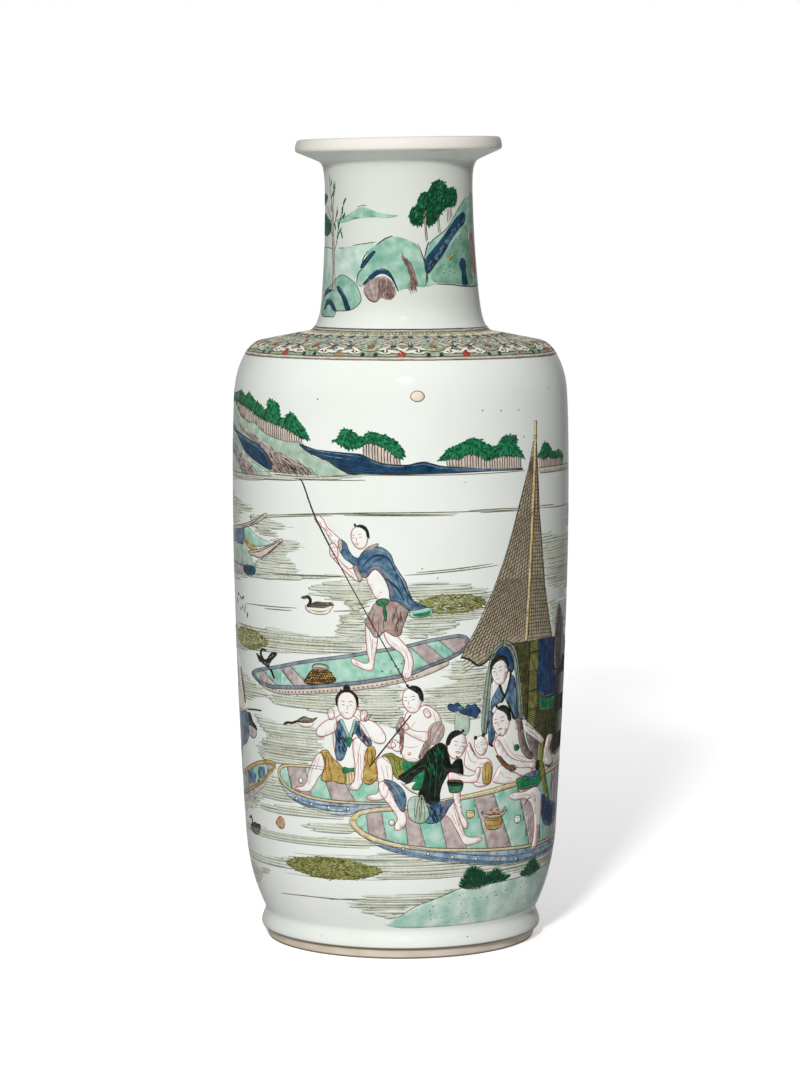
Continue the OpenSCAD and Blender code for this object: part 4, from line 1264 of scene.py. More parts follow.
def paint_host():
    """A figure in a black jacket, seen from behind, with a child at one side."""
    p = Painting("host_paint", seed=43)
    skin(p, [(-12, 97.6), (-8.6, 98.8), (-5.4, 93), (-3, 88), (0, 83.6), (2, 82.6), (3.2, 79), (2.8, 76),
             (1, 73.8), (-1, 72.4), (-3.4, 73.2), (-3, 76), (-1.8, 79), (-3.4, 82), (-7, 87), (-11, 92)],
         3.8)
    cloth(p, "blue", [(-9.4, 99.6), (-5, 99.4), (-1, 97), (1.6, 94), (3, 90), (2.6, 86), (1.6, 82.4),
                      (-0.6, 84), (-2.6, 88), (-5, 93.6)],
          [[(-7, 98.4), (-2, 92), (0.4, 85)], [(-3, 97.4), (0.6, 92)]], 4.2)
    outlined(p, "foliage", [(1, 97.4), (4, 98), (8, 102), (13, 104.6), (12.6, 98), (10.6, 94.4), (6, 95),
                 (8, 99)], 3.8)
    cloth(p, "pale_green", [(4, 88.4), (8, 91), (14, 88.6), (16.6, 84), (15.6, 79), (13, 76.4), (8, 76.6),
              (4.4, 80)], [[(8, 90), (7.6, 83), (8, 77)], [(10, 90), (10.4, 83), (10, 77)],
              [(12, 88.6), (13.2, 83), (13, 77.4)]], 4)
    skin(p, [(25, 87.8), (30, 86.4), (32, 82), (34, 76), (36, 70.4), (38, 67.8), (42, 67), (46.4, 66.8),
             (47.2, 65), (44, 63.8), (38, 63), (35.4, 64.6), (33.6, 68), (30.6, 73), (27.6, 78),
             (24, 81)], 3.8)
    creases(p, [[(29.6, 84), (32, 76), (35.4, 68.6)], [(28, 81), (31.4, 74)], [(43.6, 66.4), (45.6, 66)],
                [(43, 65), (45.4, 64.8)]], 4.6)
    cloth(p, "blue", [(14, 87.8), (22, 87.6), (27, 88.6), (30, 88.2), (27, 84.4), (25, 81), (22, 77.4),
                      (17, 75.8), (13.4, 77), (16, 80.6), (15, 84)],
          [[(17, 86.8), (19, 80), (17.4, 76.8)], [(21, 86.4), (23.6, 81)],
           [(26, 87.6), (23, 84), (21.6, 78)]], 4.4)
    brushed(p, "deep_blue", [(16, 86), (23, 86), (22, 79), (17, 78)], 1.5, -70, 4.0, 0.8, 4.9)
    skin(p, [(29, 93), (32.8, 93), (33.6, 86), (35, 80), (37.8, 76), (38, 72.6), (36, 72.4), (34.4, 75),
             (32, 80), (30, 86)], 4.6)
    cloth(p, "black", [(11.6, 110.4), (14, 114.6), (18, 118), (21.6, 119.6), (25, 117), (26.4, 112),
                       (27.6, 107.6), (30, 109.8), (33.4, 110.2), (34.6, 105), (34.2, 101), (30, 102.8),
                       (26.6, 103.4), (24, 99.4), (22.4, 96), (21.4, 91.6), (21.2, 87.6), (17, 86.4),
                       (13, 88), (9.6, 91.8), (11.4, 96), (13, 103)],
          [[(15, 113), (16.4, 104), (15.4, 92)], [(19, 117), (19.6, 106), (18.6, 89)],
           [(23, 116), (22.4, 108), (25.6, 104)], [(12.6, 108), (16, 105.4)],
           [(20.6, 99), (22.6, 104.6)]], 4.8, fold_paint="foliage")
    cloth(p, "black", [(-1.2, 101.6), (3, 104.6), (8, 108.2), (12, 111.6), (15, 112), (15.2, 107),
                       (12, 105), (8, 102.4), (4.6, 98.2), (1, 99.2)],
          [[(2, 101.4), (8, 105.4), (13, 108)]], 4.9, fold_paint="foliage")
    brushed(p, "foliage", [(14, 112), (20, 117), (25, 113), (21, 104), (15, 102)], 2.4, -75, 4.0, 0.5,
            5.4)
    p.fill("foliage", [(26, 99), (34, 98.4), (34.6, 95.4), (33, 92.4), (27.4, 92.4), (26.4, 95)], 5,
           edge="ink")
    p.fill("black", [(26, 99.2), (34, 98.6), (34.4, 96), (30, 95.6), (26.6, 96)], 5.6)
    skin(p, [(26.6, 103.2), (31, 102.6), (37, 100.8), (41, 101.2), (43, 105), (45, 104.4), (44.4, 100),
             (42, 97), (36, 97.4), (30, 98.4), (26.4, 99.2)], 5.2)
    p.lines("blush", [[(9.6, 92), (5, 94.4), (0, 98.6)], [(11, 91.6), (9.6, 84), (7.6, 77)],
                      [(11.4, 91.6), (13.6, 87), (16.4, 85.4)]], 0.9, 6)
    p.lines("ink", [[(10, 91.6), (5, 93.8), (0.4, 98)], [(10.6, 91.4), (8.8, 84), (8, 77)],
                    [(11.6, 91), (14, 86.6), (17, 85)], [(10.8, 91.2), (11.4, 85), (10.6, 78)]], 0.36,
            6.5)
    head(p, (30.6, 117.6), tilt=-12, facing=1, size=1.2, hair="cap", level=6, beard=True)
    skin(p, [(37.6, 119), (40, 114), (44, 110), (49.4, 109.4), (52.4, 106), (52.6, 100), (51, 95.4),
             (44, 94.4), (40.6, 97), (42.6, 102), (38, 104.4), (35.4, 107), (35.8, 113)], 3.6)
    cloth(p, "yellow", [(46.6, 105), (49.6, 107.6), (52.4, 104), (52.4, 98), (50, 95.4), (46.8, 96.4)],
          [[(48.4, 106), (48, 97)], [(50.4, 105.6), (50.4, 97)]], 4.4)
    creases(p, [[(36.6, 115), (39, 109), (43, 107.6)], [(38.6, 118), (41.4, 112.6)],
                [(44, 106.6), (48, 107)], [(43.6, 104.6), (46.8, 105)], [(41.4, 97.4), (45.6, 96.4)]],
            4.6, FINE)
    p.line("ink", [(38.4, 118.6), (40.6, 113.8), (43.4, 110)], 0.4, 4.8)
    head(p, (45, 116.8), tilt=14, facing=-1, size=0.9, hair="tufts", level=5.4)
    toes(p, (1, 73), -100)
    toes(p, (46.8, 65.6), 0)
    p.finish()


def paint_guest():
    """A bare figure at the right of the boat, with a strap over one shoulder."""
    p = Painting("guest_paint", seed=44)
    outlined(p, "shade", [(77, 121), (84, 119), (91, 113), (95, 106), (90, 103), (84, 108), (79, 115)],
             3.2)
    outlined(p, "weed_light", [(90, 113.4), (95, 113), (95.4, 106), (93, 100), (89.6, 104)], 3.5)
    sleeves = (
        ([(74.6, 125.4), (80, 123.4), (88, 119.6), (95.4, 114.8), (93, 113), (86, 116.4), (80, 119.4),
          (76, 121.8)], [[(77, 123), (84, 119.4), (92, 114.4)]]),
        ([(100.6, 116.6), (107.4, 115.2), (103.6, 109), (110, 101), (101, 100.2), (96.6, 107.6),
          (98, 113)], [[(103, 114), (100.4, 108), (104, 102)], [(100, 112), (98.6, 107.6)]]),
    )
    for sleeve, folds in sleeves:
        p.fill("skin", sleeve, 3.8, edge="red", width=FINE)
        creases(p, folds, 4.5, FOLD)
    p.line("black", [(98, 100.6), (104, 98.6), (111, 100.4)], 0.9, 4.5)
    cloth(p, "olive", [(88, 103), (93, 103.4), (97, 101), (100, 94), (103, 88), (107, 80), (103, 80),
                       (97, 88), (92, 95), (88, 99)], [[(91, 102), (95, 94), (102, 84)]], 4)
    cloth(p, "black", [(87.6, 103.6), (91, 103.4), (90.4, 96.4), (88, 96)], (), 4.4)
    skin(p, [(66, 88), (70, 88.8), (78, 88.2), (86, 89.6), (92, 88.6), (95.6, 84), (96, 76), (95, 68),
             (94, 61), (93, 56.4), (90, 54.8), (87.4, 56), (89, 62), (89, 70), (86.6, 78), (83, 82),
             (78, 84.4), (70, 84.6), (66.4, 86)], 3.8)
    creases(p, [[(72, 86.6), (82, 86), (88, 81), (90.6, 72)], [(92.6, 84), (92.4, 74), (91, 62)],
                [(84, 87), (89, 84)], [(66.8, 87.4), (69.4, 87)], [(89, 57), (91.6, 56)]], 4.6, FINE)
    p.dabs("ink", [(79.6, 82), (88.6, 82.6), (82, 84)], [40, -70, 20], 4.0, 0.7, 4.8)
    skin(p, [(62, 130), (66.6, 129.4), (70, 126), (72, 120), (76, 114), (82, 108), (87, 103.6),
             (84.6, 99), (78, 97), (70, 99.4), (66, 103), (61, 107), (56, 111), (53.6, 116), (55.6, 121),
             (60, 121)], 4)
    creases(p, [[(60, 119), (64, 113), (70, 108), (78, 105)], [(66, 117), (69, 112)],
                [(72, 106), (80, 101.6)], [(68, 110), (76, 107.4), (84, 105)]], 5, FINE)
    skin(p, [(53.4, 117), (56, 119), (59.4, 115), (64, 109.6), (69.6, 106.6), (78, 104.6), (84, 103.4),
             (84.6, 101), (76, 101.6), (68, 102.8), (62, 104.6), (57, 109.6)], 4.8)
    hand(p, (82, 102.4), -6, 1.2, 5.2)
    cloth(p, "mat", [(55, 110.6), (58, 109.8), (63, 105), (68, 104), (70, 101.6), (66, 101), (61, 103.6),
                     (56.6, 108)], [[(57, 110), (62, 104.8), (68, 102.6)]], 5)
    skin(p, [(53.4, 96.6), (55, 101), (58, 104.6), (62, 103.6), (66, 100.6), (72, 98.6), (74, 96),
             (68, 94.4), (60, 94.6)], 4.4)
    creases(p, [[(56.4, 98), (59, 101), (61, 97.6)], [(62, 98), (67, 96.6)], [(63, 95.6), (68, 95.6)]],
            5.2, FINE)
    cloth(p, "shade", [(69.6, 130), (73, 127.6), (75.6, 119), (79.6, 112), (84.6, 107), (81, 105.8),
                       (75, 109.6), (71.6, 116), (70, 124)], [[(71.6, 126), (73.4, 118), (79, 110)]], 5.4)
    outlined(p, "foliage", [(67.6, 114.6), (70, 115.2), (72, 113.4), (70, 111.6), (67.8, 112.4)], 5.8)
    cloth(p, "foliage", [(70, 95.6), (76, 96.8), (84, 95.6), (92.4, 96.4), (92.4, 90.6), (84, 89.8),
              (74, 90.2)], [[(73, 92.6), (80, 94.6), (90, 93)], [(76, 91), (84, 92)]], 5)
    outlined(p, "blue", [(77, 97.6), (86, 98.6), (92, 98), (92.4, 95.8), (84, 95.4)], 5.2)
    cloth(p, "cobalt", [(96.4, 84), (102, 82), (112, 78), (122, 76), (122, 68), (110, 65), (100, 68),
                        (96.6, 74)], [[(98, 80), (108, 74), (120, 72)]], 4)
    head(p, (57.8, 128.6), tilt=10, facing=-1, size=1.3, hair="cap", level=6, beard=True)
    toes(p, (90, 55.4), -95)
    toes(p, (66.4, 87), 180)
    p.finish()


# The net on its pole, the mat cabin and the woman at its door

NET_LEFT = [(78.6, 278), (74.4, 264), (71.4, 256), (66.8, 243), (61.8, 228), (57.4, 216), (50.6, 200),
            (45.6, 190), (40.6, 180), (34.6, 170), (32.6, 165.4)]
NET_RIGHT = [(81.4, 278), (84, 240), (87.2, 220), (90.6, 200), (93.4, 190), (97, 180), (101, 170)]
NET_POLE = [(80, 289), (78.6, 260), (77.4, 240), (76, 212), (75, 190), (74, 171)]

# The lower edge of the net, and the heights at which its threads start by turns
NET_HEM = [(32.6, 165.4), (42, 161), (62, 170), (101, 170)]
NET_THREAD_TOPS = (270, 206, 240, 206)

MAT_H = 10.5
STRAW_PITCH = 1.15


def across_at(run, height):
    """The length at which a run from top to bottom passes a height."""
    run = np.array(run, float)[::-1]
    return np.interp(height, run[:, 1], run[:, 0])


def paint_net():
    """The net on its pole: its ground, threads down and across, hem, and the pole with its ties."""
    p = Painting("net_paint", seed=51)
    hem = [(32.6, 165.4), (37, 164), (42, 160.6), (46, 161.6), (52, 166), (62, 170)]
    p.fill("net", NET_LEFT + hem[1:] + NET_RIGHT[::-1], 1.3, edge="ink", smooth=False, pitch=2.0)
    for side, count, pitch, slope in ((NET_LEFT, 21, 2.2, 0.42), (NET_RIGHT, 11, 2.0, -0.02)):
        for number in range(1, count):
            share = number / count
            top = NET_THREAD_TOPS[number % 4]
            heights = np.arange(top, 160, -4.0)
            edge, pole = across_at(side, heights), across_at(NET_POLE, heights)
            run = list(zip(pole + (edge - pole) * share, heights))
            low = np.interp([u for u, z in run], *zip(*NET_HEM))
            p.line("net_line", [place for place, limit in zip(run, low) if place[1] > limit + 0.6], 0.56,
                   2.1, taper=0.04)
        for height in np.arange(172 if side is NET_RIGHT else 176, 277, pitch):
            run = []
            for share in np.linspace(0, 1, 9):
                pole = across_at(NET_POLE, height)
                z = height
                for _ in range(4):
                    u = pole + (across_at(side, z) - pole) * share
                    z = height - slope * abs(u - pole) - 0.06 * share * abs(u - pole)
                run.append((u, z))
            p.line("net_line", run, 0.4, 2, taper=0.04)
    for height in np.arange(171, 176, 2.5):
        p.line("net_line", [(across_at(NET_POLE, height), height), (62, height - 4.4), (46, height - 9)],
               0.5, 1.9)
    for u, z in curve(hem[:5], step=1.5):
        p.dabs("black", [(u, z - 0.4)], p.rng.uniform(-60, 60), 2.0, 1.0, 2.4)
    pole = np.array(NET_POLE)
    p.fill("cream", [*map(tuple, pole - (0.4, 0)), *map(tuple, (pole + (1.9, 0))[::-1])], 2.5, edge="ink",
           width=FINE, smooth=False)
    p.line("yellow", pole + (1.2, 0), 0.9, 3.2, taper=0.05)
    for height in (281, 262, 240, 212, 186):
        u = across_at(NET_POLE, height)
        p.lines("ink", [[(u - 0.8, height), (u + 2.3, height + 0.5)],
                        [(u - 0.8, height - 1.3), (u + 2.3, height - 0.8)]], 0.4, 3.6)
    p.finish(["net"])


def paint_cabin():
    """The cabin of mats, with a curtain and a cloth at its door."""
    p = Painting("cabin_paint", seed=52)
    p.fill("mat", [(62, 170.4), (86, 170.6), (104, 170), (150, 166), (152, 106), (112, 104), (98, 108),
                   (88, 120), (76, 128), (72.6, 136), (72, 148), (68, 160)], 1, edge="ink", smooth=False)
    columns = ((68, 77.6, 128, 170), (77.6, 86, 122, 170), (86, 97, 112, 138), (97, 110, 106, 138),
               (110, 130, 106, 167), (130, 150, 108, 165))
    for column, (left, right, low, high) in enumerate(columns):
        for number, z in enumerate(np.arange(low, high - 4, MAT_H)):
            top = min(z + MAT_H, high)
            p.line("black", [(left, z), (right, z + 0.6)], 0.5, 2)
            if (number + column) % 2:
                runs = [[(left + 0.5, height), (right - 0.5, height + 0.8)]
                        for height in np.arange(z + 1, top, STRAW_PITCH)]
            else:
                runs = [[(u, z + 0.6), (u + 0.8, top - 0.6)]
                        for u in np.arange(left + 0.8, right, STRAW_PITCH)]
            p.lines("black" if column != 1 else "weed_light", runs, 0.34, 1.8)
        p.lines("black", [[(u, low), (u, high)] for u in (left, right)], 0.5, 2.2, taper=0.05)
    curtain = [(86, 170.8), (86.2, 171), (104, 170.2), (104.2, 170), (104.4, 156), (107, 151.6),
               (113, 150.6), (113.4, 143), (109, 138.6), (98, 138), (89, 140), (85.8, 144), (85.8, 158)]
    cloth(p, "cobalt", curtain, [[(92, 170), (91.4, 156), (93, 142)],
              [(98.6, 169), (99.4, 154), (99, 140)], [(104.6, 156), (105.4, 140)]], 2.4)
    cloth(p, "foliage", [(88.4, 139), (88.6, 138.6), (98, 137.2), (109, 137.8), (109.4, 137.4),
              (108.8, 131.6), (108.4, 131.2), (98, 130.6), (89, 132), (88.6, 132.4)],
          [[(91, 136), (100, 134), (108, 135)]], 2.6)
    outlined(p, "shade", [(109, 187.6), (114, 184), (119, 177), (124, 167), (125, 160), (118, 153),
                 (108, 152), (104.6, 157), (104.8, 170), (106, 181)], 2.2)
    p.lines("ink", [[(109, 186), (109, 172), (107.6, 156)], [(111, 184), (115, 170), (113, 155)]], 0.4, 3)
    p.finish(["cabin"])


def paint_woman():
    """The figure at the cabin's door, under a veil."""
    p = Painting("woman_paint", seed=53)
    veil_right = (
        [(58, 172.4), (64, 170.6), (68, 164), (70, 155), (71.6, 146), (73.6, 137), (74, 129)],
        [(58.6, 168.8), (63, 165), (65.6, 158), (67.6, 150), (69, 140), (70, 129.4)],
    )
    veil_left = (
        [(58, 172.4), (53, 170.6), (50, 165), (47.6, 155), (46, 143), (45, 132), (45.4, 124)],
        [(57, 169), (53.4, 165.6), (51.6, 158), (51.4, 150), (51, 140), (50, 130), (48.6, 122.8)],
    )
    for outer, inner in (veil_right, veil_left):
        outlined(p, "veil", outer + inner[::-1], 2)
        for number, share in enumerate((0.2, 0.4, 0.6, 0.8)):
            p.line(("pale_green", "ink")[number % 2], partway(outer, inner, share), 0.34, 2.8, taper=0.05)
    p.fill("white", [(51, 150), (60, 152), (68, 152), (69, 138), (69, 130), (50, 118), (50, 134)], 2.4)
    robes = (
        ([(51, 141), (54, 146), (56.4, 149), (58.4, 144), (58.8, 140), (55, 138.6), (52, 136.6),
          (51, 133), (50.4, 137)], [[(53, 143), (56, 140.4)]]),
        ([(60, 142), (62.6, 150), (65, 153.4), (67.6, 148), (69, 138), (69.8, 130), (66, 129.4),
          (64, 135), (61, 139.4)], [[(64, 150), (66, 142), (67.6, 132)], [(62, 143), (65, 136)]]),
        ([(50, 135), (53.6, 132), (54, 124), (52.6, 118), (50.4, 116.6), (49.4, 122), (49.2, 130)],
         [[(51.4, 131), (51.6, 121)]]),
    )
    for robe, folds in robes:
        cloth(p, "blue", robe, folds, 3)
    p.lines("black", [[(61, 157), (63.4, 155), (62.4, 149), (60, 143), (57.4, 138.8)],
                      [(55.6, 149), (57.4, 145.6), (59.4, 142)], [(49.6, 117.6), (53, 115.6)],
                      [(61.4, 139.6), (64.6, 134), (67.6, 128.6)]], 1.4, 4.2, taper=0.1)
    outlined(p, "cobalt", [(51.4, 162), (53, 166), (56, 168.8), (59, 169), (62.6, 166), (65.4, 160),
                 (65.4, 156), (63.4, 155), (61, 160), (56, 163)], 3.4)
    head(p, (55.8, 156.2), tilt=6, facing=-1, size=1.22, hair="full", level=4)
    p.finish()


# Water, weed, birds and the boats at the left

# Outlines of the patches of close brush lines
WATER = [
    [(-140, 248), (-118, 246), (-100, 242), (-90, 240), (-104, 238), (-118, 231), (-140, 231)],
    [(-96, 237), (-80, 236), (-62, 233), (-75, 231), (-78, 228), (-64, 226), (-54, 223), (-62, 220),
     (-66, 216), (-58, 213), (-60, 207), (-90, 204.6), (-92, 210), (-86, 214), (-76, 219), (-68, 224),
     (-72, 226), (-84, 230), (-94, 232)],
    [(-140, 204), (-90, 205.6), (-60, 207.6), (-30, 209.4), (-40, 206.6), (-70, 205), (-100, 202.6),
     (-140, 199)],
    [(-44, 204), (-30, 206), (-14, 206), (-12, 200), (-16, 196), (-20, 188), (-20, 176), (-30, 174),
     (-34, 182), (-26, 189), (-30, 196), (-46, 198.4)],
    [(-140, 174), (-110, 175), (-84, 176.6), (-62, 176.6), (-50, 175), (-30, 177), (-18, 178), (-18, 168),
     (-34, 166.4), (-56, 165), (-84, 164), (-140, 163)],
    [(2, 203), (10, 206), (26, 205), (46, 200), (46, 188), (30, 184), (24, 179), (5, 176), (2, 182),
     (4, 192)],
    [(36, 170), (33, 164), (46, 160), (49, 150), (45, 134), (36, 130), (22, 131), (14, 140), (12, 147),
     (24, 151), (36, 153), (24, 158), (30, 163)],
    [(-84, 141), (-60, 143), (-36, 146), (-34, 140), (-38, 135), (-58, 136), (-78, 137)],
    [(-24, 146), (-8, 150), (0, 149), (0, 134), (-4, 127), (-12, 130), (-20, 134)],
    [(-98, 128), (-72, 126), (-56, 127), (-45, 124), (-46, 114), (-49, 107), (-62, 105), (-90, 105),
     (-96, 112), (-86, 118)],
    [(-140, 150), (-112, 149), (-96, 146), (-82, 142), (-92, 138), (-110, 135), (-140, 135)],
    [(-96, 98), (-84, 99), (-76, 96), (-70, 90), (-62, 85), (-76, 83.6), (-98, 84), (-102, 88), (-92, 92)],
    [(-140, 82), (-112, 80), (-98, 84), (-92, 82), (-100, 78), (-112, 74), (-140, 70)],
    [(-100, 79.6), (-70, 81), (-50, 83), (-28, 81), (-27, 78), (-60, 77), (-96, 77)],
    [(-58, 73), (-44, 74), (-26, 75), (-20, 71), (-40, 69.6), (-58, 70.4)],
    [(-124, 65), (-96, 66.4), (-60, 66), (-30, 67.4), (-12, 66.6), (-4, 63), (-30, 62), (-96, 62),
     (-124, 61.6)],
    [(-60, 56), (-20, 58), (-4, 61), (8, 58), (30, 54), (60, 50), (90, 49), (150, 50), (150, 43),
     (104, 43), (80, 43), (60, 46), (36, 46), (0, 45), (-14, 46), (-14, 50), (-30, 54)],
    [(-140, 51), (-90, 51), (-66, 52), (-72, 46.6), (-100, 47), (-140, 47)],
    [(-34, 30), (-20, 36), (0, 37), (16, 37.4), (36, 40), (20, 33.6), (8, 29.8), (0, 25.6), (-4, 23),
     (-16, 25), (-28, 28)],
    [(-140, 46), (-110, 43), (-90, 43), (-98, 39), (-104, 36), (-118, 31), (-140, 29)],
    [(86, 228), (104, 225), (150, 222), (150, 196), (110, 197), (96, 199), (90, 208)],
    [(96, 190), (112, 189), (150, 188), (150, 172), (106, 176), (98, 180)],
    [(-140, 262), (-100, 259.6), (-60, 261.4), (-26, 263), (-20, 261), (-60, 258), (-100, 256.4),
     (-140, 255)],
]
LONG_STROKES = [[(-96, 236.4), (-80, 238.4), (-50, 240.6), (-20, 242.4), (20, 242.8), (66, 242.4)],
                [(-88, 237.4), (-70, 239.2), (-40, 241.4), (0, 241.8), (30, 241.8)],
                [(84, 242), (104, 241.2), (136, 241)],
                [(-92, 235.4), (-76, 237.6), (-56, 239.4), (-36, 240.6)],
                [(-30, 240.9), (0, 241.2), (28, 241)], [(36, 243.2), (52, 243.4), (68, 243)],
                [(42, 241.9), (56, 242), (70, 241.6)], [(84, 243.2), (100, 242.6)],
                [(-126, 202.6), (-100, 204), (-86, 206), (-60, 207.8), (-30, 208.8)],
                [(-74, 206.6), (-46, 208), (-26, 208.2)], [(2, 209.6), (24, 211), (54, 213.4)],
                [(8, 211), (30, 212.6), (50, 214.4)], [(-104, 188.4), (-80, 189.2), (-58, 190)],
                [(-84, 187.6), (-62, 188.4)], [(-36, 189.6), (-22, 190.6)],
                [(-84, 31), (-60, 32.4), (-24, 33)], [(-44, 32.2), (-30, 33.4), (-14, 34)],
                [(-124, 49.6), (-90, 49.6), (-70, 51)]]


def flowing(p, patch):
    """A pale wash, darker in its middle, with close, thin lines on it."""
    middle = np.mean(patch, 0)
    hatched(p, patch, "wash", pitch=1.5, width=2.2, level=0)
    hatched(p, middle + (patch - middle) * (0.78, 0.6), "silt", pitch=1.4, width=1.6, level=0.3)
    hatched(p, patch, "water", pitch=0.9, width=0.27, level=0.8)


def paint_water():
    """Patches of close brush lines, long strokes and a few specks."""
    p = Painting("water_paint", seed=61)
    for patch in WATER:
        flowing(p, patch)
    p.lines("water_dark", LONG_STROKES, 0.62, 0.5, taper=0.35, step=3)
    for place in ((-45, 302), (44, 296), (55.5, 295.5), (67.5, 295.5), (71, 281), (11, 213), (44, 11)):
        p.dot("water", place, 0.45, 1)
    p.finish()


def paint_weeds():
    """The three beds of water weed in front."""
    p = Painting("weed_paint", seed=62)
    for bed in (((27, 194), 18, 4.8), ((-103, 169.5), 21, 5.2), ((-42, 49.8), 30, 5.2)):
        weeds(p, *bed)
    brushed(p, "water_dark", [(-104, 174), (-84, 172.6), (-62, 171), (-70, 168), (-100, 166)], 1.5, 2,
            7.0, 0.5, 0.8)
    p.finish(["weed_beds"])


def duck(p, place, size=1.0, body="white"):
    """A duck that swims to the left; place is the middle of its waterline."""
    def at(points):
        return [(place[0] + x * size, place[1] + z * size) for x, z in points]

    outlined(p, body, at([(-8.4, 3.4), (-7.4, 1.2), (-4.6, 0), (0, -0.6), (4.6, 0), (7.2, 2.0),
                     (7.4, 3.2), (8.6, 4.2), (4, 4.8), (-2, 4.8), (-6, 4.2)]), 2)
    p.fill("shade" if body == "petal" else "ink",
           at([(-5.4, 3.2), (-2, 3.2), (3, 3.2), (6, 4.2), (9.2, 5.2), (6, 5.4), (8.4, 6.2), (3, 6),
               (-1, 6.2), (-4, 5)]), 2.6, edge="ink", width=0.4)
    p.lines("ink", [at([(-4, 4.8), (0, 5.4), (5, 5.2)]), at([(-3.4, 4), (1, 4.4), (6, 4.6)]),
                    at([(-5, 1.8), (0, 1), (5, 1.8)])], 0.4 * size, 3.4)
    p.line("ink", at([(-7, 3), (-5.2, 5.2), (-5, 7.2), (-6.2, 8.5), (-7.8, 8.2)]), 2.0 * size, 3,
           taper=0.1)
    outlined(p, "brown", at([(-7.6, 9), (-9.2, 8.7), (-11, 7.8), (-8, 7.3)]), 2.6)


def paint_birds():
    """Ducks, and small things on and by the water."""
    p = Painting("bird_paint", seed=63)
    duck(p, (-44.6, 188), body="petal")
    duck(p, (-105.6, 61.4), 0.95, "shade")
    back = [(-60.4, 128.6), (-58, 130.6), (-55, 131.8), (-52, 131), (-49, 131), (-46.8, 132),
            (-48, 130.4), (-51, 128.8), (-55, 128.2), (-58, 128.2)]
    belly = [(-60.4, 128.4), (-58, 126.6), (-54, 126), (-50.6, 126.8), (-49, 128.8), (-51, 128.8),
             (-55, 128.2), (-58, 128.2)]
    outlined(p, "petal", belly, 2)
    outlined(p, "brown", back, 2.4)
    p.lines("blush", [[(-58, 129), (-55, 130.4), (-51, 130)]], 0.34, 3.2)
    p.line("ink", [(-70.4, 126), (-67, 127.4), (-64, 127.4), (-59.4, 129)], 1.3, 3, taper=0.1)
    p.fill("coral", [(-80.6, 70.6), (-79, 73), (-76.6, 74.8), (-73.8, 74), (-72.6, 71), (-74, 68.6),
                     (-77, 68.2), (-79, 69.4)], 2, edge="brown")
    p.dabs("ink", [(-118, 192), (-113, 190.6), (-109, 191), (-103, 182), (-121, 188)],
           [10, -30, 20, 60, -40], 4.0, 1.6, 2)
    p.dabs("coral", [(-110, 186), (-107, 184), (-105.6, 186.4), (-113, 184.6)], [40, -30, 70, 10], 3.6,
           1.8, 2)
    p.fill("pale_green", [(30, 135.6), (33, 137), (36.6, 135.4), (38, 130), (37, 124), (33, 122.4),
               (29.4, 126)], 1.6, edge="brown", width=FINE)
    outlined(p, "cobalt", [(25, 138.6), (26.4, 140.6), (28.6, 139.8), (30.4, 141), (32.4, 139.4),
                 (34.4, 138), (36.4, 139.6), (38.6, 139), (41, 139.8), (42.6, 137.4), (44.4, 136),
                 (43, 133.8), (41.6, 131.8), (39, 132.8), (36.6, 133.6), (33, 134.8), (31, 136.4),
                 (28.6, 136), (26.4, 136.8)], 2)
    p.dabs("green", [(33.4, 138.8), (35, 138), (32, 138)], [60, 20, -20], 2.2, 0.9, 3)
    p.finish()


